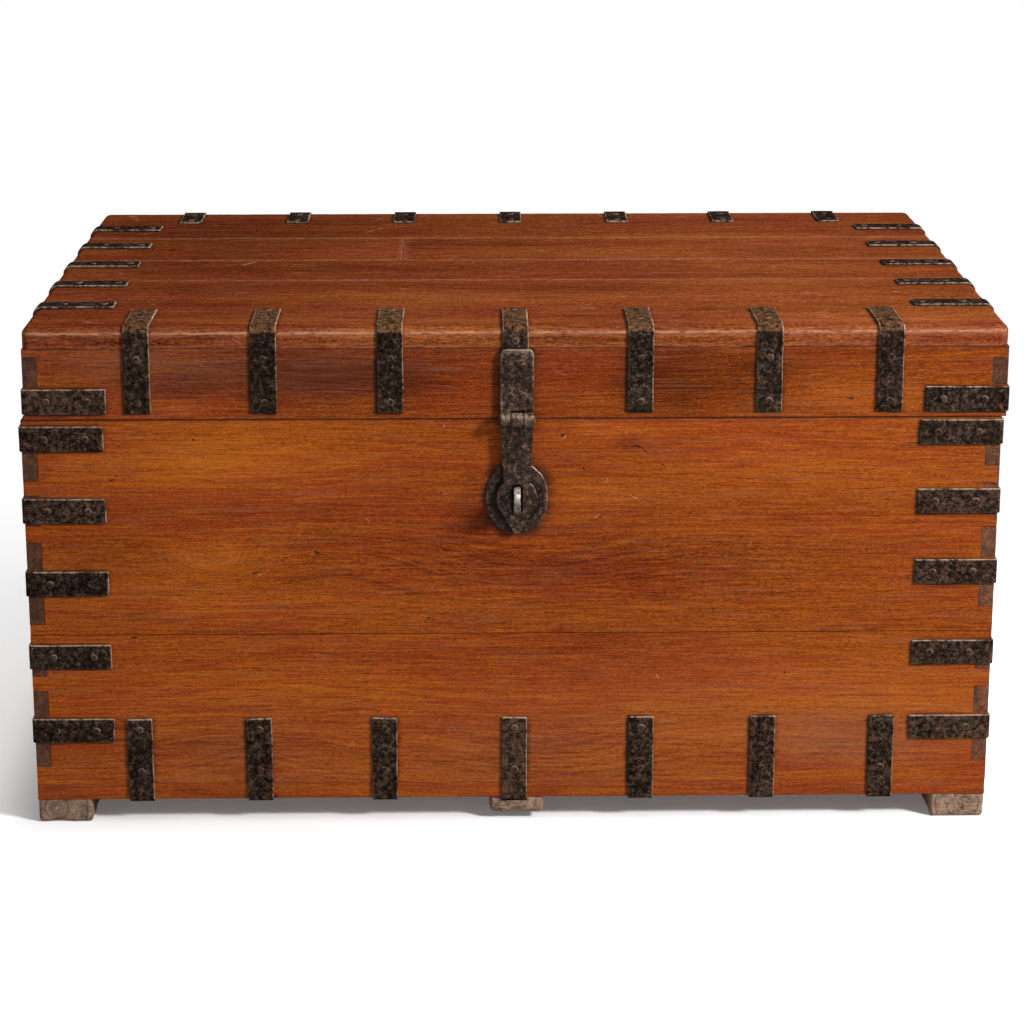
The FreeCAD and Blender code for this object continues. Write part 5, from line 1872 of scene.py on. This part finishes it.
@dataclass
class Nails:
    """Hand-made nails with low, beaten heads: one piece for each node."""

    head_radius: float = 4.8 * MM
    head_height: float = 1.8 * MM
    sides: int = 14
    nodes: tuple[str, ...] = (
        "lid_strap_nails", "hasp_leaf_nails", "hinge_lid_nails", "case_corner_strap_nails",
        "case_bottom_strap_nails", "bearer_nails", "bottom_board_nails", "hinge_case_nails")

    def read(self, points: np.ndarray) -> tuple[np.ndarray, np.ndarray]:
        """Find the seat of a nail's head and the way that it faces.

        Args:
            points: Points of the nail's solid.

        Returns:
            The middle of the seat, and the direction out of it.
        """
        low, high = points.min(0), points.max(0)
        seat = (low + high) / 2
        axis = int(np.argmax(high - low))
        others = [other for other in range(3) if other != axis]
        wide = np.hypot(*(points[:, others] - seat[others]).T) > self.head_radius * 0.9
        sign = 1.0 if points[wide, axis].mean() > seat[axis] else -1.0
        seat[axis] = (high if sign > 0 else low)[axis] - sign * self.head_height
        return seat, np.eye(3)[axis] * sign

    def nail(self, seat: np.ndarray, out: np.ndarray, seed: int) -> Shape:
        """One nail.

        Args:
            seat: Middle of the seat of its head.
            out: Direction in which it faces.
            seed: Number that makes it differ from the others.

        Returns:
            Its shape.
        """
        radius, height = self.head_radius, self.head_height
        flat = 0.62 + 0.3 * (seed * 29 % 13) / 12
        head = (
            (0.25, 1.0, 1.0), (0.62, 0.90, 1.0), (0.92, 0.70, 0.25), (1.0, 0.50, 0.0), (0.90, 0.28, 0.0),
            (0.86, 0.1, 0.0))
        profile = [(-4.0 * MM, 1.2 * MM), (-0.1 * MM, 1.9 * MM), (-0.1 * MM, radius * 0.94)]
        profile += [(height * rise * flat, radius * wide) for rise, wide, _ in head]
        shape = turned(profile, self.sides)
        shape.wear[:] = np.repeat([0, 0, 0.3] + [worn for _, _, worn in head], self.sides)
        angles = np.arctan2(shape.points[:, 2], shape.points[:, 1])
        outline = 1 + 0.05 * np.cos(3 * angles + seed) + 0.04 * np.cos(5 * angles + 2 * seed)
        shape.points[:, 1:] *= outline[:, None]
        up, y, z = shape.points.T
        tilted = up + np.where(up > 0, y * (0.05 * math.cos(seed * 1.9)) + z * (0.05 * math.sin(seed * 2.3)), 0)
        shape.points[:, 0] = np.minimum(tilted, height)
        return shape.placed(seat, out, np.roll(np.abs(out), 1))

    def build(self, finishes: Finishes) -> None:
        """Make the nails of every node.

        Args:
            finishes: Materials of the chest.
        """
        for node in self.nodes:
            whole = Shape.joined(
                [self.nail(*self.read(solid), index) for index, solid in enumerate(separate_solids(node))])
            mesh = make_mesh(node + "_driven", whole)
            write_floats(mesh, wear=whole.wear, rust=np.zeros(len(whole.points)))
            set_piece(mesh, body_of(node), node, [finishes.nail])


@dataclass
class IronWork:
    """Where iron lies on the wood, for the dirt that gathers round it."""

    strap_reach: float = 5.0 * MM
    plate_reach: float = 15.0 * MM
    plates: tuple[str, ...] = ("hasp_leaf", "left_hinge_case_leaf", "right_hinge_case_leaf")
    round_plate: str = "staple_plate"
    shrinks: tuple[tuple[float, float], ...] = ((1.0, 0.42), (0.86, 0.70), (0.62, 0.90), (0.42, 1.0))
    boxes: list[tuple[np.ndarray, np.ndarray, float]] = field(default_factory=list)

    def __post_init__(self) -> None:
        """Read the corners of every strap and plate."""
        for node in Straps.nodes:
            for solid in separate_solids(node):
                legs = StrapPlace.read(solid, Straps.thickness).legs(Straps.thickness)
                self.boxes += [(*leg, self.strap_reach) for leg in legs]
        self.boxes += [(*node_box(node), self.plate_reach) for node in self.plates]
        low, high = node_box(self.round_plate)
        middle, half = (low + high) / 2, (high - low) / 2
        for wide, tall in self.shrinks:
            shrunk = half * (wide, 1.0, tall)
            self.boxes.append((middle - shrunk, middle + shrunk, self.plate_reach))

    def nearness(self, points: np.ndarray) -> np.ndarray:
        """How near points are to iron.

        Args:
            points: Points on the wood.

        Returns:
            1 at the iron, falling to 0 away from it.
        """
        nearness = np.zeros(len(points))
        for low, high, reach in self.boxes:
            gap = np.maximum(np.maximum(low - points, points - high), 0)
            nearness = np.maximum(nearness, np.exp(-np.linalg.norm(gap, axis=1) / reach))
        return nearness


# ---- fittings ----


def fitting_piece(
        node: str, shape: Shape, body: Body, finishes: Finishes,
        soot: Callable[[np.ndarray], np.ndarray] | None = None) -> None:
    """Make a forged fitting in place of its node.

    Args:
        node: Node that it stands for.
        shape: Its shape in the frame.
        body: Body that it rides on.
        finishes: Materials of the chest.
        soot: How much painted shadow of the hasp arm blackens the piece at points, from 0 to 1.
    """
    mesh = make_mesh(node + "_forged", shape)
    seed = sum(ord(letter) for letter in node) % 31
    dents = ripple(shape.points, 60.0, seed) + 0.7 * ripple(shape.points, 160.0, seed + 1) - 0.5
    moved = shape.points + surface_normals(mesh) * (BEATING * dents)[:, None]
    move_points(mesh, np.clip(moved, *node_box(node)))
    write_floats(mesh, wear=shape.wear, rust=np.full(len(moved), 0.2))
    if soot:
        write_floats(mesh, soot=soot(moved))
    set_piece(mesh, body, node, [finishes.staple if node == "staple" else finishes.fitting])


@dataclass
class Lock:
    """Hasp and staple: leaf, pin, slotted arm, plate and staple."""

    strap_thickness: float = 2.7 * MM
    leaf_width: float = 42 * MM
    leaf_thickness: float = 3.5 * MM
    leaf_rise: float = 88 * MM
    leaf_chamfer: float = 4 * MM
    barrel_radius: float = 9 * MM
    pin_radius: float = 3.5 * MM
    pin_head_radius: float = 5.5 * MM
    pin_head_length: float = 2 * MM
    knuckle_half: float = 7.77 * MM
    knuckle_gap: float = 0.4 * MM
    turning_gap: float = 0.5 * MM
    arm_back: float = 4.8 * MM
    arm_thickness: float = 5 * MM
    arm_top_half: float = 20.5 * MM
    arm_neck_half: float = 15 * MM
    disc_radius: float = 25.8 * MM
    dome_depth: float = 0.35 * MM
    edge_waver: float = 0.25 * MM
    tip_reach: float = 45 * MM
    tip_half: float = 20 * MM
    tip_end_half: float = 3.5 * MM
    tip_start: float = 16 * MM
    slot_half_width: float = 7 * MM
    slot_half_height: float = 19 * MM
    plate_thickness: float = 3 * MM
    plate_half: tuple[float, float] = (39 * MM, 46 * MM)
    plate_corner: float = 24 * MM
    plate_roundness: float = 2.15
    # Reach and shift of the painted shadow that the arm casts on the plate.
    soot_reach: float = 6 * MM
    soot_shift: float = 1.5 * MM
    ring_radius: float = 33.0 * MM
    ring_half: float = 2.5 * MM
    ring_height: float = 1.2 * MM
    staple_thickness: float = 9 * MM
    nose_radius: float = 15.5 * MM
    eye_radius: float = 6.5 * MM
    tail_half: float = 9 * MM

    def __post_init__(self) -> None:
        """Read where the lock sits from its nodes."""
        plate_low, plate_high = node_box("staple_plate")
        pin_low, pin_high = node_box("hasp_pin")
        self.face = plate_high[1]
        self.middle = (plate_low[0] + plate_high[0]) / 2
        self.level = (plate_low[2] + plate_high[2]) / 2
        self.pin_level = (pin_low[2] + pin_high[2]) / 2
        self.pin_out = self.face - (pin_low[1] + pin_high[1]) / 2
        self.eye_out = self.face - node_box("staple")[0][1] - self.nose_radius
        self.wall = node_box("front_board_upper")[1][1] - self.face

    def put(self, shape: Shape, level: float) -> Shape:
        """Shape drawn about the lock's middle line, at a level."""
        return shape.placed((self.middle, self.face, level), (0.0, -1.0, 0.0), (1.0, 0.0, 0.0))

    def knuckle(self, start: float, end: float) -> Shape:
        """Barrel along the lock's width between two places."""
        return barrel(self.barrel_radius, end - start).crosswise(self.pin_out, start)

    def leaf(self) -> Shape:
        """Leaf on the lid, with two knuckles below.

        Returns:
            Its shape in the frame.
        """
        half, back = self.leaf_width / 2, self.strap_thickness
        gap = self.knuckle_half + self.knuckle_gap
        plate = leaf_plate(
            (back, back + self.leaf_thickness), half, (0.0, self.leaf_rise),
            (gap, self.barrel_radius + self.turning_gap), (4 * MM, 5 * MM), True)
        above = np.maximum(plate.points[:, 2] - (self.leaf_rise - self.leaf_chamfer), 0)
        plate.points[:, 1] *= 1 - above / half
        plate.points[:, 1] += self.edge_waver * ripple(plate.points, (0, 0, 60), 4)
        knuckles = [self.knuckle(start, end) for start, end in ((-half, -gap), (gap, half))]
        return self.put(Shape.joined([plate.softened(0.9 * MM), *knuckles]), self.pin_level)

    def pin(self) -> Shape:
        """Hinge pin of the hasp, peened at both ends.

        Returns:
            Its shape in the frame.
        """
        head, length = self.pin_head_radius, self.pin_head_length
        rings = ((length, head * 0.4), (length * 0.8, head * 0.8), (length * 0.3, head), (0.0, head * 0.96))
        shape = headed_pin(self.leaf_width / 2, self.pin_radius, rings, 20, head * 0.75)
        return self.put(shape.crosswise(self.pin_out), self.pin_level)

    def arm_forms(self) -> tuple[tuple[tuple[float, float], ...], ...]:
        """Forms that the arm's outline is made of, with the disc.

        Returns:
            Corners of the arm's neck and of its tip.
        """
        shoulder = self.pin_level - self.level - self.barrel_radius - self.turning_gap
        low_neck = -self.disc_radius * 0.4
        neck = (
            (self.arm_top_half, shoulder), (-self.arm_top_half, shoulder),
            (-self.arm_neck_half, low_neck), (self.arm_neck_half, low_neck))
        tip = (
            (self.tip_half, -self.tip_start), (self.tip_end_half, -self.tip_reach),
            (-self.tip_end_half, -self.tip_reach), (-self.tip_half, -self.tip_start), (0.0, 1.0 * MM))
        return neck, tip

    def arm_reach(self, angles: np.ndarray) -> np.ndarray:
        """Distance of the arm's edge from the staple's middle."""
        waver = self.edge_waver * np.cos(7 * angles + 1.0)
        return union_reach(angles, (self.disc_radius,), self.arm_forms()) + waver

    def arm_shadow_share(self, points: np.ndarray) -> np.ndarray:
        """How much painted shadow of the arm lies on the plate at points under and beside it.

        Args:
            points: Points of the plate.

        Returns:
            1 under the arm, falling to 0 away from it.
        """
        # The painted shadow is shifted down and to the left, where the arm's shadow falls.
        across = points[:, 0] - self.middle + self.soot_shift
        up = points[:, 2] - self.level + self.soot_shift
        beyond = np.hypot(across, up) - self.arm_reach(np.arctan2(up, across))
        return np.exp(-(np.maximum(beyond, 0) / self.soot_reach) ** 2)

    def slot_reach(self, angles: np.ndarray) -> np.ndarray:
        """Distance of the slot's edge from the staple's middle.

        Args:
            angles: Angles to measure at.

        Returns:
            The distance at each angle.
        """
        end = self.slot_half_height - self.slot_half_width
        cosines, sines = np.abs(np.cos(angles)), np.abs(np.sin(angles))
        straight = self.slot_half_width / np.maximum(cosines, 1e-9)
        root = np.sqrt(np.maximum(self.slot_half_width ** 2 - (end * cosines) ** 2, 0))
        return np.where(straight * sines <= end, straight, end * sines + root)

    def dome(self, y: np.ndarray, z: np.ndarray) -> np.ndarray:
        """Slight dome of the arm's disc."""
        return -self.dome_depth * np.clip(np.hypot(y, z) / self.disc_radius, 0, 1) ** 3

    def arm(self) -> Shape:
        """Slotted arm that hangs over the staple.

        Returns:
            Its shape in the frame.
        """
        drop, back, width = self.pin_level - self.level, self.arm_back, self.knuckle_half
        shoulder = drop - self.barrel_radius - self.turning_gap
        neck, tip = self.arm_forms()
        plate = star_plate(
            self.arm_reach, self.arm_thickness, self.slot_reach, self.dome,
            corners=corner_angles((*neck, *tip[:4])), rounding=1.2 * MM, steps=180, rings=12).moved(out=back)
        # Painted highlight at the arm's tip, drawn as wear.
        plate.wear = np.maximum(plate.wear, np.exp(-((plate.points[:, 2] + self.tip_reach) / (5 * MM)) ** 2))
        root = solid_block(
            (back, -width, shoulder - 1 * MM), (back + self.arm_thickness - 0.4 * MM, width, drop), 4 * MM, 0.5 * MM)
        return self.put(Shape.joined([plate, root, self.knuckle(-width, width).moved(up=drop)]), self.level)

    def plate_corners(self) -> tuple[tuple[float, float], ...]:
        """Corners of the eight-sided plate, going round."""
        (wide, high), corner = self.plate_half, self.plate_corner
        return (
            (wide, high - corner), (wide - corner, high), (corner - wide, high), (-wide, high - corner),
            (-wide, corner - high), (corner - wide, -high), (wide - corner, -high), (wide, corner - high))

    def plate_reach(self, angles: np.ndarray) -> np.ndarray:
        """Distance of the plate's worn edge from its middle.

        Args:
            angles: Angles to measure at.

        Returns:
            The distance at each angle.
        """
        (wide, high), power = self.plate_half, self.plate_roundness
        across = np.abs(np.cos(angles) / wide) ** power + np.abs(np.sin(angles) / high) ** power
        eight_sided = union_reach(angles, (), (self.plate_corners(),))
        return np.minimum(eight_sided, across ** (-1 / power)) - self.edge_waver * (1 + np.cos(5 * angles))

    def ring(self, y: np.ndarray, z: np.ndarray) -> np.ndarray:
        """Raised ring round the staple."""
        distance = np.abs(np.hypot(y, z) - self.ring_radius)
        return self.ring_height * np.clip(1.6 * (1 - distance / self.ring_half), 0, 1)

    def plate(self) -> Shape:
        """Eight-sided plate with a raised ring."""
        shape = star_plate(
            self.plate_reach, self.plate_thickness, None, self.ring, corners=corner_angles(self.plate_corners()),
            rings=26)
        return self.put(shape, self.level)

    def staple(self) -> Shape:
        """Staple with the padlock's eye, and its tail peened inside the wall.

        Returns:
            Its shape in the frame.
        """
        half = self.staple_thickness / 2
        back = self.plate_thickness - self.eye_out - 0.5 * MM
        eye = eye_shape(self.nose_radius, back, self.eye_radius, half, 1.6 * MM, 72, 5).moved(out=self.eye_out)
        shank = peened_shank(self.wall, self.plate_thickness, (half, self.tail_half), 0.4 * MM)
        return self.put(Shape.joined([eye, *shank]), self.level)

    def build(self, finishes: Finishes) -> None:
        """Make the five pieces of the lock.

        Args:
            finishes: Materials of the chest.
        """
        fitting_piece("hasp_leaf", self.leaf(), Body.LID, finishes)
        fitting_piece("hasp_pin", self.pin(), Body.LID, finishes)
        fitting_piece("hasp_arm", self.arm(), Body.HASP, finishes)
        fitting_piece("staple_plate", self.plate(), Body.CASE, finishes, self.arm_shadow_share)
        fitting_piece("staple", self.staple(), Body.CASE, finishes)


@dataclass
class Hinge:
    """One strap hinge at the back: lid leaf with its stop, case leaf and pin."""

    name: str
    half: float = 30 * MM
    leaf_thickness: float = 3 * MM
    barrel_radius: float = 7 * MM
    pin_radius: float = 2.5 * MM
    pin_head_radius: float = 4.5 * MM
    pin_head_length: float = 2 * MM
    knuckle_half: float = 12 * MM
    knuckle_gap: float = 0.4 * MM
    turning_gap: float = 0.5 * MM
    heel_reach: float = 12 * MM
    heel_thickness: float = 3.5 * MM
    heel_stand: float = 4.0 * MM
    opening: float = 105.0

    def __post_init__(self) -> None:
        """Read where the hinge sits from its nodes."""
        pin_low, pin_high = node_box(self.name + "_hinge_pin")
        leaf_low, _ = node_box(self.name + "_hinge_case_leaf")
        self.middle = (pin_low + pin_high) / 2
        self.face = leaf_low[1]
        self.axis_out = self.middle[1] - self.face
        self.rise = node_box(self.name + "_hinge_lid_leaf")[1][2] - self.middle[2]
        self.drop = self.middle[2] - leaf_low[2]

    def put(self, shapes: Sequence[Shape]) -> Shape:
        """Shapes drawn about the hinge's pin, with x out from the wood."""
        origin = (self.middle[0], self.face, self.middle[2])
        return Shape.joined(shapes).placed(origin, (0.0, 1.0, 0.0), (-1.0, 0.0, 0.0))

    def knuckle(self, start: float, end: float) -> Shape:
        """Knuckle between two places along the pin."""
        return barrel(self.barrel_radius, end - start).crosswise(self.axis_out, start)

    def leaf(self, heights: tuple[float, float], side: float, at_middle: bool) -> Shape:
        """Flat part of a leaf, cut away round the other leaf's knuckles.

        Args:
            heights: Its lowest and highest level.
            side: Half the width of the middle knuckle with its gap.
            at_middle: Whether the middle is cut away; otherwise both sides are.

        Returns:
            The closed shape, with soft edges.
        """
        level = math.copysign(self.barrel_radius + self.turning_gap, sum(heights))
        return leaf_plate(
            (0.0, self.leaf_thickness), self.half, heights, (side, level), (6 * MM, 7 * MM),
            at_middle).softened(0.7 * MM)

    def lid_leaf(self) -> Shape:
        """Leaf on the lid, with its middle knuckle and the heel that stops the lid.

        Returns:
            Its shape in the frame.
        """
        width = self.knuckle_half
        heel = solid_block(
            (-self.heel_stand, -width, -self.heel_reach),
            (self.heel_thickness - self.heel_stand, width, -self.pin_radius * 1.1), 4 * MM, 0.5 * MM)
        turn = math.radians(self.opening)
        x, z = heel.points[:, 0].copy(), heel.points[:, 2].copy()
        heel.points[:, 0] = x * math.cos(turn) - z * math.sin(turn) + self.axis_out
        heel.points[:, 2] = x * math.sin(turn) + z * math.cos(turn)
        return self.put([self.leaf((0.0, self.rise), width, False), self.knuckle(-width, width), heel])

    def case_leaf(self) -> Shape:
        """Leaf on the case, with two outer knuckles.

        Returns:
            Its shape in the frame.
        """
        inner = self.knuckle_half + self.knuckle_gap
        plate = self.leaf((-self.drop, -0.3 * MM), inner, True)
        return self.put([plate, self.knuckle(-self.half, -inner), self.knuckle(inner, self.half)])

    def pin(self) -> Shape:
        """Pin with a head at each end.

        Returns:
            Its shape in the frame.
        """
        head, length = self.pin_head_radius, self.pin_head_length
        rings = ((length, head * 0.4), (length * 0.75, head * 0.85), (length * 0.2, head), (0.0, head * 0.95))
        return self.put([headed_pin(self.half, self.pin_radius, rings, 18, head * 0.8).crosswise(self.axis_out)])

    def build(self, finishes: Finishes) -> None:
        """Make the three pieces of the hinge.

        Args:
            finishes: Materials of the chest.
        """
        fitting_piece(self.name + "_hinge_lid_leaf", self.lid_leaf(), Body.LID, finishes)
        fitting_piece(self.name + "_hinge_case_leaf", self.case_leaf(), Body.CASE, finishes)
        fitting_piece(self.name + "_hinge_pin", self.pin(), Body.CASE, finishes)


@dataclass
class Handle:
    """One drop handle: two eyes through the end board and the bail that swings between them."""

    name: str
    body: Body
    sign: int
    eye_half_span: float = 65 * MM
    eye_width: float = 12 * MM
    eye_radius: float = 9 * MM
    eye_out: float = 16 * MM
    flange_radius: float = 17 * MM
    flange_thickness: float = 3 * MM
    shank: float = 8 * MM
    wall: float = 19 * MM
    bail_radius: float = 5 * MM
    bail_swell: float = 1.1 * MM
    drop: float = 62 * MM
    bend: float = 12 * MM
    head_radius: float = 7 * MM
    head_length: float = 3 * MM
    clearance: float = 0.5 * MM

    def __post_init__(self) -> None:
        """Read where the handle sits from its nodes."""
        low, high = node_box(self.name + "_handle_eyes")
        self.origin = (low + high) / 2
        reach = self.eye_out + self.eye_radius
        self.origin[0] = high[0] - reach if self.sign > 0 else low[0] + reach
        self.out = np.array([float(self.sign), 0, 0])
        self.side = np.cross((0.0, 0.0, 1.0), self.out)

    def eyes(self) -> Shape:
        """Both eyes, with their flanges and peened tails.

        Returns:
            Their shape in the frame.
        """
        radius, thick, square = self.flange_radius, self.flange_thickness, self.shank / 2
        flange = turned((
            (0.0, radius), (thick * 0.55, radius), (thick * 0.9, radius * 0.93), (thick, radius * 0.8),
            (thick, radius * 0.3)), 28, radius * 0.9)
        bore = self.bail_radius + 0.05 * MM
        eye = eye_shape(self.eye_radius, -self.eye_out, bore, self.eye_width / 2, 0.9 * MM, 48, 3)
        parts = [eye.moved(out=self.eye_out), flange, *peened_shank(self.wall, 1 * MM, (square, square), 0.3 * MM)]
        return Shape.joined([
            part.moved(side=centre) for centre in (-self.eye_half_span, self.eye_half_span)
            for part in parts]).placed(self.origin, self.out, self.side)

    def bail(self) -> Shape:
        """Bail, a little thicker where the hand holds it, with a head outside each eye.

        Returns:
            Its shape in the frame.
        """
        bend, low = self.bend, -self.drop
        leg = self.eye_half_span - self.eye_width / 2 - self.clearance - bend
        end = self.eye_half_span + self.eye_width / 2 + self.clearance
        head_end = end + self.head_length
        path = [(head_end, 0.0), (head_end - 0.7 * MM, 0.0), (end + 0.5 * MM, 0.0), (end, 0.0)]
        path += [(leg + bend + share * (end - leg - bend), 0.0) for share in (0.75, 0.4, 0.0)]
        turns = np.radians((18, 36, 54, 72, 90))
        path += [(leg + bend - bend * math.sin(turn), bend * math.cos(turn) - bend) for turn in turns]
        path += [(leg, -bend + share * (low + 2 * bend)) for share in (0.25, 0.5, 0.75, 1.0)]
        path += [(leg - bend + bend * math.cos(turn), low + bend - bend * math.sin(turn)) for turn in turns]
        path += [((leg - bend) * share, low) for share in (0.75, 0.5, 0.25)]
        half_path = np.array(path)
        whole = np.concatenate([half_path, [(0.0, low)], half_path[::-1] * (-1, 1)])
        radii = np.full(len(whole), self.bail_radius)
        radii[:3] = radii[-1:-4:-1] = (self.head_radius * 0.6, self.head_radius, self.head_radius)
        bottom = np.abs(whole[:, 1] - low) < 1e-9
        radii += np.where(bottom, self.bail_swell * (1 - (np.abs(whole[:, 0]) / leg) ** 2), 0)
        tangents = np.gradient(whole, axis=0)
        tangents /= np.linalg.norm(tangents, axis=1)[:, None]
        angles = np.arange(18) * 2 * math.pi / 18
        loops = []
        for (y, z), (ty, tz), radius in zip(whole, tangents, radii):
            outward, sideways = radius * np.cos(angles), radius * np.sin(angles)
            loops.append(np.stack([self.eye_out + outward, y - tz * sideways, z + ty * sideways], 1))
        wear = np.repeat((radii > self.bail_radius + 0.2 * MM).astype(float) * 0.5, len(angles))
        return tube(loops, wear).placed(self.origin, self.out, self.side)

    def build(self, finishes: Finishes) -> None:
        """Make the eyes and the bail.

        Args:
            finishes: Materials of the chest.
        """
        fitting_piece(self.name + "_handle_eyes", self.eyes(), Body.CASE, finishes)
        fitting_piece(self.name + "_handle_bail", self.bail(), self.body, finishes)


# ---- studio ----


@dataclass(frozen=True)
class Lamp:
    """A soft panel of light."""

    name: str
    place: tuple[float, float, float]
    target: tuple[float, float, float]
    size: tuple[float, float]
    power: float

    def build(self) -> None:
        """Hang the lamp."""
        light = bpy.data.lights.new(self.name, "AREA")
        light.shape = "RECTANGLE"
        light.size, light.size_y = self.size
        light.energy = self.power
        holder = bpy.data.objects.new(self.name, light)
        holder.location = self.place
        aim = Vector(self.target) - Vector(self.place)
        holder.rotation_euler = aim.to_track_quat("-Z", "Y").to_euler()
        bpy.context.scene.collection.objects.link(holder)


@dataclass
class Studio:
    """Pale floor, soft lamps, white surroundings and the camera."""

    floor_rings: tuple[float, ...] = (0.6, 1.2, 1.8, 2.6, 4.0, 8.0, 30.0)
    floor_sides: int = 64
    floor_colour: Colour = (0.88, 0.88, 0.88)
    floor_bounce: Colour = (0.57, 0.57, 0.57)
    lift: tuple[float, float] = (0.11, 0.47)
    lift_reach: float = 0.115
    fade: tuple[float, float] = (0.10, 0.90)
    ambient: float = 0.16
    footprint: tuple[float, float] = (0.60, 0.38)
    camera_place: tuple[float, float, float] = (-0.0501, -3.5239, 1.3714)
    camera_pitch: float = 14.3165
    camera_turn: float = 0.9036
    camera_lens: float = 92.01
    camera_sensor: float = 36.0
    camera_shift: float = -0.1172
    lamps: tuple[Lamp, ...] = (
        Lamp("key_panel", (3.4, -2.35, 2.7), (0.0, -0.38, 0.35), (0.75, 0.75), 280.0),
        Lamp("fill_panel", (-3.0, -3.6, 1.9), (0.0, -0.3, 0.3), (2.2, 2.0), 10.0),
        Lamp("top_panel", (0.0, -0.9, 3.5), (0.0, 0.0, 0.3), (2.8, 2.0), 35.0),
        Lamp("back_panel", (0.5, 3.8, 2.4), (0.0, 0.3, 0.3), (2.4, 1.8), 40.0))

    def floor(self) -> None:
        """Lay a round floor that keeps the chest's shadow and turns white away from it."""
        sides = self.floor_sides
        angles = np.arange(sides) * math.tau / sides
        circle = np.stack([np.cos(angles), np.sin(angles), np.zeros(sides)], 1)
        points = np.concatenate([np.zeros((1, 3)), *(radius * circle for radius in self.floor_rings)])
        faces = []
        for ring, k in itertools.product(range(len(self.floor_rings)), range(sides)):
            one, two = 1 + ring * sides + k, 1 + ring * sides + (k + 1) % sides
            faces.append((one - sides, one, two, two - sides) if ring else (0, one, two))
        mesh = bpy.data.meshes.new("studio_floor")
        mesh.from_pydata(points.tolist(), [], faces)
        mesh.materials.append(self.floor_finish())
        floor = bpy.data.objects.new("studio_floor", mesh)
        bpy.context.scene.collection.objects.link(floor)

    def floor_finish(self) -> bpy.types.Material:
        """Matt white that lifts the shadow a little and turns to plain white far from the chest.

        Returns:
            The material.
        """
        recipe = Recipe("studio_floor_white")
        spot = recipe.add("ShaderNodeTexCoord").outputs["Object"]
        beyond = recipe.vector("SUBTRACT", recipe.vector("ABSOLUTE", spot), (*self.footprint, 0.0))
        distance = recipe.vector("LENGTH", recipe.vector("MAXIMUM", beyond, (0.0, 0.0, 0.0)), output="Value")
        looked_at = recipe.looked_at()
        colour = recipe.mix(looked_at, self.floor_bounce, self.floor_colour)
        matt = recipe.add("ShaderNodeBsdfDiffuse", {"Color": colour})
        lifted = recipe.times(looked_at, recipe.between(distance, 0.0, self.lift_reach, *self.lift))
        lift = recipe.add("ShaderNodeEmission", {"Strength": lifted})
        near = recipe.add("ShaderNodeAddShader", {0: matt.outputs[0], 1: lift.outputs[0]})
        white = recipe.add("ShaderNodeEmission", {"Strength": 1.0})
        share = recipe.times(recipe.between(distance, *self.fade), looked_at)
        surface = recipe.add("ShaderNodeMixShader", {0: share, 1: near.outputs[0], 2: white.outputs[0]})
        recipe.add("ShaderNodeOutputMaterial", {0: surface.outputs[0]})
        return recipe.made

    def surroundings(self) -> None:
        """White to look at, and an even soft light for the chest."""
        recipe = Recipe("studio_world", "worlds")
        strength = recipe.add(
            "ShaderNodeMapRange", {"Value": recipe.looked_at(), "To Min": self.ambient, "To Max": 1.0})
        background = recipe.add(
            "ShaderNodeBackground", {"Color": (1.0, 1.0, 1.0, 1.0), "Strength": strength.outputs[0]})
        recipe.add("ShaderNodeOutputWorld", {"Surface": background.outputs[0]})
        bpy.context.scene.world = recipe.made

    def camera(self) -> None:
        """Stand the camera where the photograph was taken from."""
        lens = bpy.data.cameras.new("studio_camera")
        lens.lens = self.camera_lens
        lens.sensor_width = self.camera_sensor
        lens.shift_y = self.camera_shift
        lens.clip_end = 60.0
        holder = bpy.data.objects.new("studio_camera", lens)
        holder.location = self.camera_place
        tilt = math.radians(90.0 - self.camera_pitch)
        holder.rotation_euler = Euler((tilt, 0.0, -math.radians(self.camera_turn)))
        bpy.context.scene.collection.objects.link(holder)
        bpy.context.scene.camera = holder

    def build(self) -> None:
        """Set up the studio."""
        self.camera()
        self.floor()
        self.surroundings()
        for lamp in self.lamps:
            lamp.build()
        bpy.context.scene.view_settings.view_transform = "Standard"


def main() -> None:
    """Build the studio and the chest, sub-assembly by sub-assembly."""
    logging.basicConfig(level=logging.INFO, format="%(name)s: %(message)s")
    Studio().build()
    finishes = Finishes()
    iron = IronWork()
    CaseWood().build(iron, finishes)
    LidWood().build(iron, finishes)
    Straps().build(finishes)
    Nails().build(finishes)
    Lock().build(finishes)
    for name in ("left", "right"):
        Hinge(name).build(finishes)
    Handle("left", Body.LEFT_HANDLE, -1).build(finishes)
    Handle("right", Body.RIGHT_HANDLE, 1).build(finishes)


if __name__ == "__main__":
    main()
